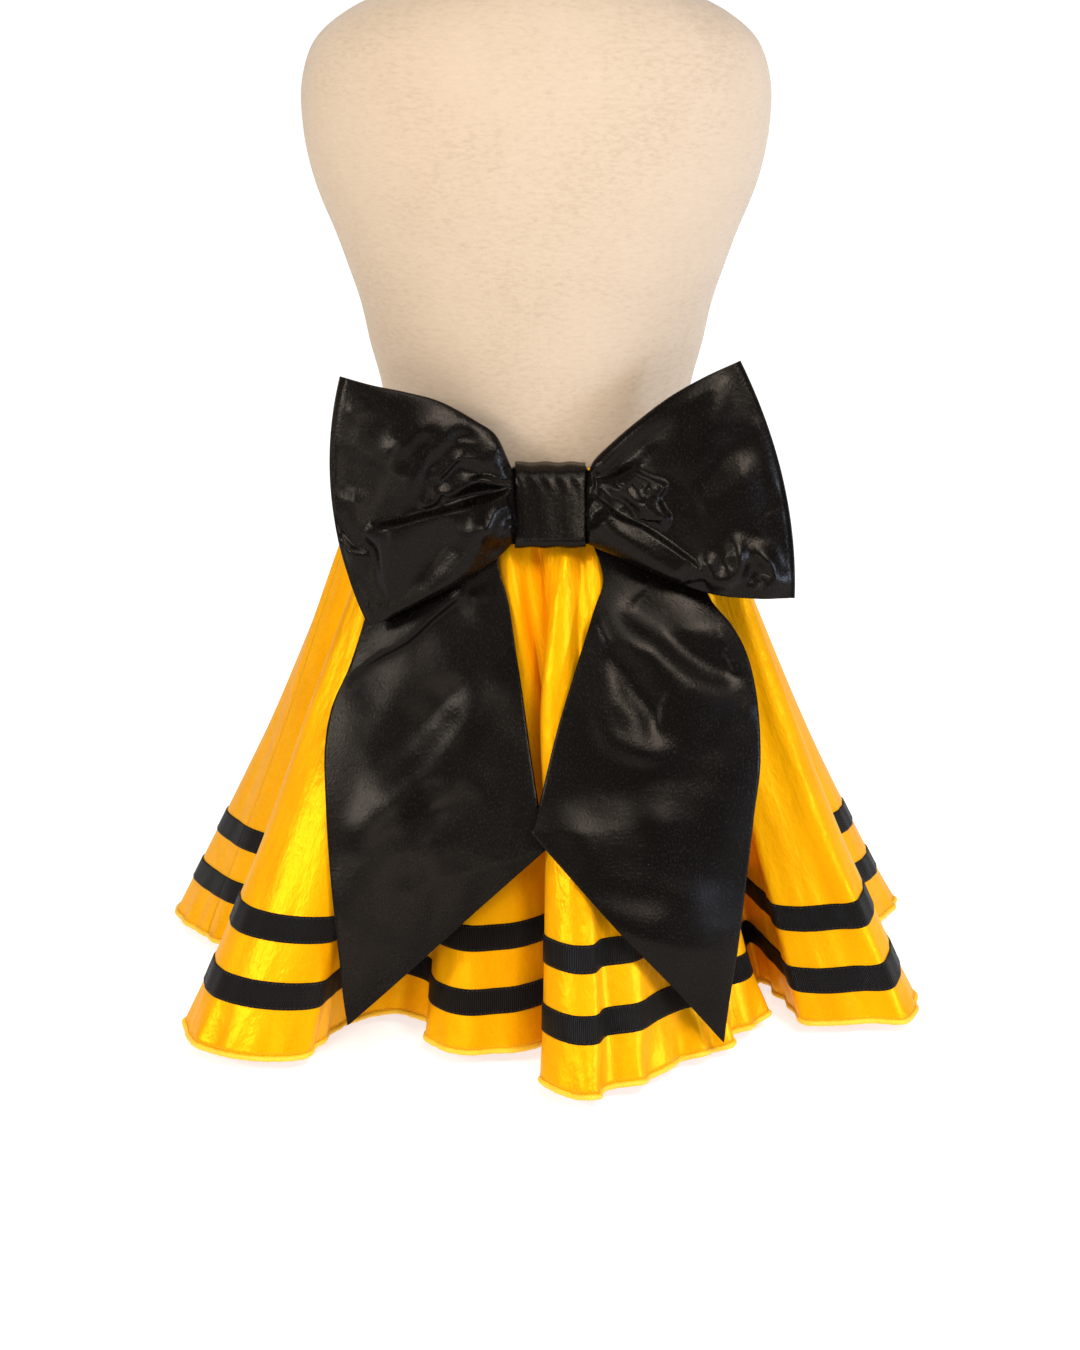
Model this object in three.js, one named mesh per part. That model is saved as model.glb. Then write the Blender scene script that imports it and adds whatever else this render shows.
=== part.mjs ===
// A short full-circle satin skirt with two rows of grosgrain ribbon and a large pinched bow at the
// back waist, worn by a limbless dress form on a low round stand.
// Millimetres, +Z up. The garment's back faces -Y, its front +Y. Z = 0 is the surface the stand rests on.
import * as THREE from 'three';

const TAU = Math.PI * 2;

// ---- driving dimensions ------------------------------------------------------------------------
const WAIST_Z = 438; // narrowest level of the form
const AXIS_X = -3; // the form stands a little to the left of the hem's centre
const WAIST_HALF_WIDTH = 120;
const WAIST_HALF_DEPTH = 92;
const SEAM_GAP = 0.3; // clearance between neighbouring pieces

const BAND_LOW = -23; // waistband edges, measured from the waist
const BAND_HIGH = 9;
const BAND_WALL = 2;

const CLOTH = 1.4; // satin wall, self-lined
const SKIRT_TOP_Z = WAIST_Z + BAND_LOW - SEAM_GAP;
const HEM_Z = 10;
const SKIRT_STAND_OFF = 5.2; // mean distance of the gathered top edge from the form
const GATHERS = 32;
const GATHER_HEIGHT = 1.8;
const GATHER_REACH = 0.3; // share of the skirt's drop over which the gathers die out
const PUFF_HEIGHT = 22; // how far the gathered cloth springs out just below the band
const PUFF_LEAN = 6; // added towards +X, taken off towards -X
const PUFF_RISE = 0.06;
const COLUMNS = GATHERS * 4;
const SLANT = 459; // waist seam to hem, along the cloth

const RIBBON_WIDTH = 22;
const RIBBON_WALL = 1;
const LOWER_RIBBON_FROM_HEM = 42;
const RIBBON_SPACING = 31.5;
const BEAD_RADIUS = 2; // rolled hem
const BEAD_SHARE = 6 / SLANT;

// ---- helpers -----------------------------------------------------------------------------------
const rad = (degrees) => (degrees * Math.PI) / 180;
const mix = (a, b, t) => a + (b - a) * t;
const clamp = (t) => Math.min(1, Math.max(0, t));
const range = (n) => Array.from({ length: n }, (_, i) => i);
const bump = (distance, width) => Math.exp(-((distance / width) ** 2));

// Signed volume of an indexed mesh, to turn every face outwards.
function signedVolume(points, faces) {
  let volume = 0;
  for (const [a, b, c] of faces) {
    volume += points[a].dot(new THREE.Vector3().crossVectors(points[b], points[c])) / 6;
  }
  return volume;
}

function solid(points, faces) {
  const turned = signedVolume(points, faces) < 0 ? faces.map(([a, b, c]) => [a, c, b]) : faces;
  const geometry = new THREE.BufferGeometry().setFromPoints(points);
  geometry.setIndex(turned.flat());
  geometry.computeVertexNormals();
  return geometry;
}

function quad(faces, a, b, c, d) {
  faces.push([a, b, c], [a, c, d]);
}

// Solid through equal loops of points. The ends are capped by a fan, or joined when `ring` is set.
function loft(loops, ring = false) {
  const size = loops[0].length;
  const points = loops.flat();
  const faces = [];
  const spans = ring ? loops.length : loops.length - 1;
  for (let i = 0; i < spans; i++) {
    const here = i * size;
    const next = ((i + 1) % loops.length) * size;
    for (let k = 0; k < size; k++) {
      const l = (k + 1) % size;
      quad(faces, here + k, here + l, next + l, next + k);
    }
  }
  if (!ring) {
    for (const [index, flip] of [[0, true], [loops.length - 1, false]]) {
      const centre = new THREE.Vector3();
      loops[index].forEach((p) => centre.addScaledVector(p, 1 / size));
      const hub = points.push(centre) - 1;
      for (let k = 0; k < size; k++) {
        const a = index * size + k;
        const b = index * size + ((k + 1) % size);
        faces.push(flip ? [hub, b, a] : [hub, a, b]);
      }
    }
  }
  return solid(points, faces);
}

// Closed wall between an outer and an inner grid of the same rows and columns.
function wall(outer, inner) {
  const rows = outer.length;
  const columns = outer[0].length;
  const points = [...outer.flat(), ...inner.flat()];
  const offset = rows * columns;
  const at = (i, j) => i * columns + j;
  const faces = [];
  for (let i = 0; i < rows - 1; i++) {
    for (let j = 0; j < columns - 1; j++) {
      quad(faces, at(i, j), at(i, j + 1), at(i + 1, j + 1), at(i + 1, j));
      quad(faces, offset + at(i, j), offset + at(i + 1, j), offset + at(i + 1, j + 1), offset + at(i, j + 1));
    }
  }
  for (let j = 0; j < columns - 1; j++) {
    quad(faces, at(0, j), offset + at(0, j), offset + at(0, j + 1), at(0, j + 1));
    quad(faces, at(rows - 1, j), at(rows - 1, j + 1), offset + at(rows - 1, j + 1), offset + at(rows - 1, j));
  }
  for (let i = 0; i < rows - 1; i++) {
    quad(faces, at(i, 0), at(i + 1, 0), offset + at(i + 1, 0), offset + at(i, 0));
    const last = columns - 1;
    quad(faces, at(i, last), offset + at(i, last), offset + at(i + 1, last), at(i + 1, last));
  }
  return solid(points, faces);
}

// ---- materials ---------------------------------------------------------------------------------
const finish = (color, roughness, metalness = 0) => () =>
  new THREE.MeshStandardMaterial({ color, roughness, metalness });
const yellowSatin = finish('#f5b80c', 0.38);
const blackSatin = finish('#1b1715', 0.36);
const blackGrosgrain = finish('#1d1a18', 0.75);
const creamJersey = finish('#ecd6b6', 0.9);
const standPaint = finish('#d9d2c6', 0.5);

const part = new THREE.Group();
function add(name, geometry, material) {
  const mesh = new THREE.Mesh(geometry, material());
  mesh.name = name;
  part.add(mesh);
}

// ---- dress form --------------------------------------------------------------------------------
// Sections of the torso: height above the waist, half width, half depth to the back and to the front.
const TORSO = [
  { above: -122, half: 118, back: 88, front: 92 },
  { above: -118, half: 128, back: 97, front: 101 },
  { above: -106, half: 133, back: 101, front: 105 },
  { above: -70, half: 130, back: 100, front: 104 },
  { above: -42, half: 124.5, back: 96.5, front: 98.5 },
  { above: BAND_LOW, half: 121.4, back: 93.4, front: 94 },
  { above: 0, half: WAIST_HALF_WIDTH, back: WAIST_HALF_DEPTH, front: WAIST_HALF_DEPTH },
  { above: BAND_HIGH, half: 120.2, back: 92.1, front: 92.4 },
  { above: 32, half: 121.8, back: 92.8, front: 95 },
  { above: 62, half: 125.5, back: 94.5, front: 101 },
  { above: 95, half: 134, back: 98, front: 110 },
  { above: 128, half: 141, back: 102, front: 121 },
  { above: 160, half: 151.5, back: 106, front: 131 },
  { above: 184, half: 160, back: 108, front: 135 },
  { above: 207, half: 169.5, back: 110, front: 132 },
  { above: 229, half: 177, back: 110.5, front: 125 },
  { above: 262, half: 183.5, back: 109, front: 113 },
  { above: 300, half: 184, back: 103, front: 99 },
  { above: 332, half: 173, back: 93, front: 87 },
  { above: 355, half: 146, back: 82, front: 76 },
  { above: 372, half: 108, back: 70, front: 65 },
  { above: 386, half: 76, back: 60, front: 56 },
  { above: 400, half: 60, back: 54, front: 51 },
  { above: 440, half: 55, back: 51, front: 49 },
];
const TORSO_SIDES = 36;
const NECK_TOP_Z = WAIST_Z + TORSO[TORSO.length - 1].above;
const TORSO_BOTTOM_Z = WAIST_Z + TORSO[0].above;

function formPoint(row, angle, out = 0) {
  const depth = (Math.cos(angle) > 0 ? row.back : row.front) + out;
  const aside = (row.half + out) * Math.sin(angle);
  return new THREE.Vector3(AXIS_X + aside, -depth * Math.cos(angle), WAIST_Z + row.above);
}

function formRing(row, out = 0) {
  return range(TORSO_SIDES).map((k) => formPoint(row, (k / TORSO_SIDES) * TAU, out));
}

add('form_torso', loft(TORSO.map((row) => formRing(row))), creamJersey);

const disc = (radius, height, edge) => [
  new THREE.Vector2(0, 0),
  new THREE.Vector2(radius - edge, 0),
  new THREE.Vector2(radius, edge),
  new THREE.Vector2(radius, height - edge),
  new THREE.Vector2(radius - edge, height),
  new THREE.Vector2(0, height),
];

// A turned piece whose profile runs up the Z axis.
function turned(profile, sides, z) {
  const geometry = new THREE.LatheGeometry(profile, sides);
  return geometry.rotateX(Math.PI / 2).translate(AXIS_X, 0, z);
}

const CAP = { radius: 53, height: 12, edge: 4, sides: 36 };
const BASE = { radius: 120, height: 20, edge: 4, sides: 48 };
const POST = { radius: 15, edge: 1, sides: 24 };
const postBottom = BASE.height + SEAM_GAP;
const postHeight = TORSO_BOTTOM_Z - SEAM_GAP - postBottom;

const capProfile = disc(CAP.radius, CAP.height, CAP.edge);
const postProfile = disc(POST.radius, postHeight, POST.edge);
const baseProfile = disc(BASE.radius, BASE.height, BASE.edge);
add('form_neck_cap', turned(capProfile, CAP.sides, NECK_TOP_Z + SEAM_GAP), standPaint);
add('form_post', turned(postProfile, POST.sides, postBottom), standPaint);
add('form_base', turned(baseProfile, BASE.sides, 0), standPaint);

// ---- waistband ---------------------------------------------------------------------------------
const bandRows = TORSO.filter(({ above }) => above >= BAND_LOW && above <= BAND_HIGH);
const bandLoops = range(TORSO_SIDES).map((k) => {
  const angle = (k / TORSO_SIDES) * TAU;
  const inside = bandRows.map((row) => formPoint(row, angle, SEAM_GAP));
  const outside = bandRows.map((row) => formPoint(row, angle, SEAM_GAP + BAND_WALL));
  return [...inside, ...outside.reverse()];
});
add('waistband', loft(bandLoops, true), yellowSatin);

// ---- skirt -------------------------------------------------------------------------------------
// The hem seen from above, once round: bearing from the back centre (+ towards +X) and distance
// from the axis. Each fold is a ridge between two valleys; some ridges overhang their valleys.
const HEM = [
  // left back fold
  { bearing: -109, reach: 265 }, { bearing: -106, reach: 315 }, { bearing: -101, reach: 331 },
  { bearing: -94, reach: 305 }, { bearing: -87.5, reach: 274 }, { bearing: -80, reach: 228 },
  { bearing: -72, reach: 205 },
  // left fold, overhanging on its right
  { bearing: -66, reach: 235 }, { bearing: -62, reach: 300 }, { bearing: -56.6, reach: 340 },
  { bearing: -51.6, reach: 350 }, { bearing: -47, reach: 344 }, { bearing: -43, reach: 334 },
  { bearing: -40, reach: 315 }, { bearing: -36.5, reach: 303 }, { bearing: -38.7, reach: 283 },
  { bearing: -42, reach: 237 }, { bearing: -38, reach: 198 },
  // shallow fold left of the centre, tucked under the next one
  { bearing: -28.4, reach: 196 }, { bearing: -24.5, reach: 221 }, { bearing: -21.4, reach: 233 },
  { bearing: -14.8, reach: 241 }, { bearing: -8.3, reach: 233 }, { bearing: -4, reach: 228 },
  { bearing: 4, reach: 208 }, { bearing: 9, reach: 190 },
  // broad fold right of the centre
  { bearing: 8, reach: 222 }, { bearing: 3.5, reach: 252 }, { bearing: 0.5, reach: 280 },
  { bearing: 4.5, reach: 312 }, { bearing: 8.5, reach: 314 }, { bearing: 10.3, reach: 300 },
  { bearing: 15.7, reach: 296 }, { bearing: 20.6, reach: 278 }, { bearing: 27.4, reach: 268 },
  { bearing: 34, reach: 267 }, { bearing: 37.8, reach: 249 }, { bearing: 45, reach: 249 },
  { bearing: 63.6, reach: 205 },
  // right fold, overhanging on its left
  { bearing: 55, reach: 253 }, { bearing: 50, reach: 274 }, { bearing: 52, reach: 292 },
  { bearing: 57, reach: 320 }, { bearing: 59, reach: 342 }, { bearing: 66.8, reach: 338 },
  { bearing: 68.5, reach: 336 }, { bearing: 76, reach: 262 }, { bearing: 85, reach: 205 },
  // right back fold
  { bearing: 92, reach: 240 }, { bearing: 97.6, reach: 302 }, { bearing: 106, reach: 333 },
  { bearing: 113, reach: 325 }, { bearing: 119, reach: 290 }, { bearing: 124, reach: 235 },
  { bearing: 131, reach: 202 },
  // three folds over the garment's front
  { bearing: 139, reach: 232 }, { bearing: 144, reach: 290 }, { bearing: 151, reach: 322 },
  { bearing: 159, reach: 315 }, { bearing: 165, reach: 272 }, { bearing: 170, reach: 210 },
  { bearing: 177, reach: 228 }, { bearing: 183, reach: 300 }, { bearing: 190, reach: 318 },
  { bearing: 198, reach: 310 }, { bearing: 205, reach: 265 }, { bearing: 211, reach: 203 },
  { bearing: 218, reach: 240 }, { bearing: 222, reach: 298 }, { bearing: 230, reach: 325 },
  { bearing: 238, reach: 318 }, { bearing: 243, reach: 270 }, { bearing: 247, reach: 208 },
];
const FIRST_HANG = -107.7; // waist bearing from which the first hem station hangs
const hemStation = ({ bearing, reach }) =>
  new THREE.Vector3(reach * Math.sin(rad(bearing)), -reach * Math.cos(rad(bearing)), HEM_Z);
const hemCurve = new THREE.CatmullRomCurve3(HEM.map(hemStation), true, 'centripetal');
hemCurve.arcLengthDivisions = 3600;

// A point of the skirt's outer face. `hang` is the waist bearing in degrees, `share` runs from 0 at
// the waist seam to 1 at the hem: each thread runs straight from the waist to the hem at the same
// share of both lengths, and the gathered top springs out below the band.
function skirtPoint(hang, share) {
  const angle = rad(hang);
  const waist = new THREE.Vector3(
    AXIS_X + (WAIST_HALF_WIDTH + SKIRT_STAND_OFF) * Math.sin(angle),
    -(WAIST_HALF_DEPTH + SKIRT_STAND_OFF) * Math.cos(angle),
    SKIRT_TOP_Z,
  );
  const turn = (((hang - FIRST_HANG) / 360) % 1 + 1) % 1;
  const hem = hemCurve.getPointAt(turn);
  const outward = new THREE.Vector3(
    Math.sin(angle) / WAIST_HALF_WIDTH,
    -Math.cos(angle) / WAIST_HALF_DEPTH,
    0,
  ).normalize();
  const puffHeight = PUFF_HEIGHT + PUFF_LEAN * Math.sin(angle);
  const puff = puffHeight * (1 - Math.exp(-share / PUFF_RISE)) * (1 - share) ** 3;
  const gatherHeight = GATHER_HEIGHT * Math.max(0, 1 - share / GATHER_REACH) ** 2;
  const gather = gatherHeight * Math.cos(GATHERS * angle);
  return waist.lerp(hem, share).addScaledVector(outward, puff + gather);
}

const NORMAL_STEP = { hang: 0.4, share: 0.01 };
function skirtNormal(hang, share) {
  const low = Math.max(0, share - NORMAL_STEP.share);
  const high = Math.min(1, share + NORMAL_STEP.share);
  const before = skirtPoint(hang - NORMAL_STEP.hang, share);
  const across = skirtPoint(hang + NORMAL_STEP.hang, share).sub(before);
  const down = skirtPoint(hang, high).sub(skirtPoint(hang, low));
  return across.cross(down).normalize().negate();
}

const fromHem = (distance) => 1 - distance / SLANT;

// Where the ribbons sit a little nearer the hem: waist bearing, half spread and drop as a share.
const DIPS = [
  { hang: -17, spread: 13, drop: 0.018 },
  { hang: 62, spread: 11, drop: 0.03 },
];
const DIP_FROM = 0.4;
const DIP_FULL = 0.7;
const DIP_END = 0.95;
function dipped(hang, share) {
  const rise = clamp((share - DIP_FROM) / (DIP_FULL - DIP_FROM));
  const fall = clamp((1 - BEAD_SHARE - share) / (1 - BEAD_SHARE - DIP_END));
  const drop = DIPS.reduce((sum, dip) => sum + dip.drop * bump(hang - dip.hang, dip.spread), 0);
  return share + drop * rise * fall;
}

const MM_PER_DEGREE = { waist: 1.9, hem: 8.7 };
const seamInset = (share) => SEAM_GAP / 2 / mix(MM_PER_DEGREE.waist, MM_PER_DEGREE.hem, share);

// Grid over one half of the skirt, from side seam to side seam, moved out from the outer face.
function panelGrid(firstHang, rows) {
  const half = COLUMNS / 2;
  return rows.map(({ share, out }) =>
    range(half + 1).map((j) => {
      const inset = j === 0 ? seamInset(share) : j === half ? -seamInset(share) : 0;
      const hang = firstHang + (j / half) * 180 + inset;
      const place = dipped(hang, share);
      return skirtPoint(hang, place).addScaledVector(skirtNormal(hang, place), out);
    }),
  );
}

const RIBBONS = [
  { name: 'upper', bottom: LOWER_RIBBON_FROM_HEM + RIBBON_WIDTH + RIBBON_SPACING },
  { name: 'lower', bottom: LOWER_RIBBON_FROM_HEM },
];
const ribbonEdges = RIBBONS.flatMap(({ bottom }) => [fromHem(bottom + RIBBON_WIDTH), fromHem(bottom)]);

// The wall's rows, with the rolled hem as a bead on the last three.
const UPPER_ROWS = [0, 0.04, 0.11, 0.22, 0.4, 0.58];
const plainRow = (share) => ({ share, outside: 0, inside: -CLOTH });
const beadRow = (share, radius) => (
  { share, outside: radius - CLOTH / 2, inside: -radius - CLOTH / 2 });
const PANEL_ROWS = [
  ...[...UPPER_ROWS, ...ribbonEdges, 1 - BEAD_SHARE].map(plainRow),
  beadRow(1 - BEAD_SHARE / 2, BEAD_RADIUS),
  beadRow(1, BEAD_RADIUS * 0.6),
];
const PANELS = [
  { name: 'back', firstHang: -90 },
  { name: 'front', firstHang: 90 },
];
for (const { name, firstHang } of PANELS) {
  const side = (key) => panelGrid(firstHang, PANEL_ROWS.map((row) => ({ share: row.share, out: row[key] })));
  add(`skirt_${name}_panel`, wall(side('outside'), side('inside')), yellowSatin);
  for (const ribbon of RIBBONS) {
    const shares = [fromHem(ribbon.bottom + RIBBON_WIDTH), fromHem(ribbon.bottom)];
    const face = (out) => panelGrid(firstHang, shares.map((share) => ({ share, out })));
    add(`ribbon_${ribbon.name}_${name}`, wall(face(SEAM_GAP + RIBBON_WALL), face(SEAM_GAP)), blackGrosgrain);
  }
}

// ---- bow ---------------------------------------------------------------------------------------
// Depths below are distances towards -Y from the axis. The knot leans: its back follows the band at
// the top and the sprung-out skirt at the bottom.
const KNOT = {
  x: 8, z: 424.5, width: 55, height: 60, depth: 27, wall: 2.5, backTop: 91.5, backBottom: 116.6,
  corner: 9, around: 24,
};
const KNOT_BARREL = [
  { along: -0.5, out: 0 }, { along: -0.3, out: 1.2 }, { along: 0, out: 1.6 },
  { along: 0.3, out: 1.2 }, { along: 0.5, out: 0 },
];
const knotBack = (z) => mix(KNOT.backBottom, KNOT.backTop, (z - KNOT.z) / KNOT.height + 0.5);
const KNOT_MOUTH = 1; // how far the gathered roots run out of the knot before they spread
const ROOT_HALF_HEIGHT = KNOT.height / 2 - KNOT.wall - SEAM_GAP;
const TAIL_WALL = 2.2;
const TAIL_ROOT_INSET = 7; // the tails are gathered a little smaller than the wings in the knot
const TAIL_ROOT_BACK = KNOT.wall + SEAM_GAP;
const WING_ROOT_BACK = TAIL_ROOT_BACK + TAIL_WALL + 2 * SEAM_GAP;
const WING_ROOT_HALF = (KNOT.depth - KNOT.wall - SEAM_GAP - WING_ROOT_BACK) / 2;
const wingRootDepth = (z) => knotBack(z) + WING_ROOT_BACK + WING_ROOT_HALF;

// Band round the pinch: a flattened tube along X, slightly barrelled.
function knotGeometry() {
  const outline = (along, out, inset) => {
    const round = KNOT.corner - inset;
    const flatDepth = KNOT.depth / 2 - inset - round;
    const flatHeight = KNOT.height / 2 - inset + out - round;
    return range(KNOT.around).map((k) => {
      const angle = ((k + 0.5) / KNOT.around) * TAU;
      const [forward, up] = [Math.cos(angle), Math.sin(angle)];
      const z = KNOT.z + Math.sign(up) * flatHeight + round * up;
      const barrel = forward > 0 ? out : 0;
      const depth = knotBack(z) + KNOT.depth / 2 + Math.sign(forward) * flatDepth + barrel + round * forward;
      return new THREE.Vector3(KNOT.x + along * KNOT.width, -depth, z);
    });
  };
  const outside = KNOT_BARREL.map(({ along, out }) => outline(along, out, 0));
  const inside = KNOT_BARREL.map(({ along }) => outline(along, 0, KNOT.wall)).reverse();
  return loft([...outside, ...inside], true);
}
add('bow_knot', knotGeometry(), blackSatin);

// A smooth run through table rows, sampled at even steps of the row index.
function edgeThrough(rows, x, depth, z) {
  const points = rows.map((row) => new THREE.Vector3(row[x], -row[depth], row[z]));
  const curve = new THREE.CatmullRomCurve3(points, false, 'centripetal');
  return (t) => curve.getPoint(t);
}

const RIDGE_FADE = 0.25; // share of its length over which a ridge rises and dies out

// Soft ridge along a line of the bow seen from the back: ends, height and width.
function ridgeHeight(ridges, x, z) {
  return ridges.reduce((sum, { from, to, height, width }) => {
    const run = [to[0] - from[0], to[1] - from[1]];
    const length = Math.hypot(...run);
    const along = ((x - from[0]) * run[0] + (z - from[1]) * run[1]) / length / length;
    const aside = ((x - from[0]) * run[1] - (z - from[1]) * run[0]) / length;
    const fade = clamp(along / RIDGE_FADE) * clamp((1 - along) / RIDGE_FADE);
    return sum + height * fade * bump(aside, width);
  }, 0);
}

// Wings: flat seamed tubes of cloth, pinched at the knot and puffed between their edges. A row for
// each rib from the knot outwards: upper and lower end, bulge of the rib away from the knot, and
// half the wing's thickness at its middle.
const WINGS = [
  {
    name: 'bow_wing_left',
    side: -1,
    ribs: [
      { topX: -22, topD: 117, topZ: 453, lowX: -22, lowD: 134, lowZ: 397, bulge: 0, half: 9 },
      { topX: -33, topD: 118, topZ: 478, lowX: -32, lowD: 138, lowZ: 388, bulge: 0, half: 9 },
      { topX: -50, topD: 118, topZ: 491, lowX: -58, lowD: 141, lowZ: 370, bulge: 2, half: 9.5 },
      { topX: -77, topD: 119, topZ: 506, lowX: -85, lowD: 143, lowZ: 357, bulge: 6, half: 10 },
      { topX: -103, topD: 118, topZ: 513, lowX: -109, lowD: 145, lowZ: 345, bulge: 12, half: 9 },
      { topX: -130, topD: 115, topZ: 518, lowX: -123, lowD: 145, lowZ: 338, bulge: 16, half: 6 },
      { topX: -154, topD: 111, topZ: 524, lowX: -134, lowD: 144, lowZ: 335, bulge: 17, half: 1.2 },
    ],
    ridges: [
      { from: [-22, 440], to: [-135, 416], height: 7, width: 9 },
      { from: [-25, 448], to: [-75, 470], height: 4, width: 7 },
    ],
  },
  {
    name: 'bow_wing_right',
    side: 1,
    ribs: [
      { topX: 38, topD: 117, topZ: 451, lowX: 38, lowD: 134, lowZ: 397, bulge: 0, half: 9 },
      { topX: 42, topD: 118, topZ: 460, lowX: 63, lowD: 141, lowZ: 387, bulge: 0, half: 9 },
      { topX: 56, topD: 118, topZ: 474, lowX: 89, lowD: 146, lowZ: 377, bulge: 2, half: 9.5 },
      { topX: 74, topD: 119, topZ: 490, lowX: 112, lowD: 149, lowZ: 368, bulge: 4, half: 10 },
      { topX: 99, topD: 118, topZ: 509, lowX: 136, lowD: 151, lowZ: 361, bulge: 8, half: 9.5 },
      { topX: 126, topD: 115, topZ: 524, lowX: 166, lowD: 151, lowZ: 358, bulge: 12, half: 6.5 },
      { topX: 154, topD: 110, topZ: 536, lowX: 197, lowD: 149, lowZ: 358, bulge: 12, half: 1.2 },
    ],
    ridges: [
      { from: [38, 437], to: [128, 380], height: 8, width: 10 },
      { from: [40, 444], to: [95, 452], height: 4, width: 8 },
    ],
  },
];
const WING_RIBS = 12;
const WING_STEPS = 12;
const WING_EDGE = 1.1; // half thickness of the seamed edges
const WING_ROOT_EDGE = 3; // the same, where the folds crowd into the knot
const WING_ROUNDING = { puff: 0.6, root: 0.3, crease: 0.3 }; // powers of the arch across a rib
const CREASE_HALF = 6; // creases fade where a wing is thinner than this

// Half the wing's thickness at one point of a rib.
function wingHalf(row, arch, inKnot) {
  if (inKnot) return mix(WING_ROOT_EDGE, row.half, arch ** WING_ROUNDING.root);
  const edge = Math.min(WING_EDGE, row.half);
  return mix(edge, row.half, arch ** WING_ROUNDING.puff);
}

function wingGeometry({ side, ribs, ridges }) {
  const rootX = KNOT.x + side * SEAM_GAP / 2;
  const root = {
    topX: rootX, topD: wingRootDepth(KNOT.z + ROOT_HALF_HEIGHT), topZ: KNOT.z + ROOT_HALF_HEIGHT,
    lowX: rootX, lowD: wingRootDepth(KNOT.z - ROOT_HALF_HEIGHT), lowZ: KNOT.z - ROOT_HALF_HEIGHT,
    bulge: 0, half: WING_ROOT_HALF,
  };
  const mouthX = KNOT.x + side * (KNOT.width / 2 + KNOT_MOUTH);
  const rows = [root, { ...root, topX: mouthX, lowX: mouthX }];
  const top = edgeThrough(ribs, 'topX', 'topD', 'topZ');
  const low = edgeThrough(ribs, 'lowX', 'lowD', 'lowZ');
  for (const i of range(WING_RIBS)) {
    const t = i / (WING_RIBS - 1);
    const at = t * (ribs.length - 1);
    const index = Math.min(Math.floor(at), ribs.length - 2);
    const [a, b] = [ribs[index], ribs[index + 1]];
    const [p, q] = [top(t), low(t)];
    rows.push({
      topX: p.x, topD: -p.y, topZ: p.z, lowX: q.x, lowD: -q.y, lowZ: q.z,
      bulge: mix(a.bulge, b.bulge, at - index), half: mix(a.half, b.half, at - index),
    });
  }
  const loops = rows.map((row, i) => {
    const inKnot = i < 2;
    const face = (sign) => range(WING_STEPS + 1).map((k) => {
      const t = (k / WING_STEPS) * 2 - 1;
      const arch = 1 - t * t;
      const across = (t + 1) / 2;
      const x = mix(row.topX, row.lowX, across) + side * row.bulge * arch;
      const z = mix(row.topZ, row.lowZ, across);
      const strength = inKnot || sign < 0 ? 0 : arch ** WING_ROUNDING.crease * clamp(row.half / CREASE_HALF);
      const crease = strength * ridgeHeight(ridges, x, z);
      const middle = mix(row.topD, row.lowD, across);
      const depth = middle + sign * wingHalf(row, arch, inKnot) + crease;
      return new THREE.Vector3(x, -depth, z);
    });
    return [...face(1), ...face(-1).reverse()];
  });
  return loft(loops);
}
WINGS.forEach((wing) => add(wing.name, wingGeometry(wing), blackSatin));

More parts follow.
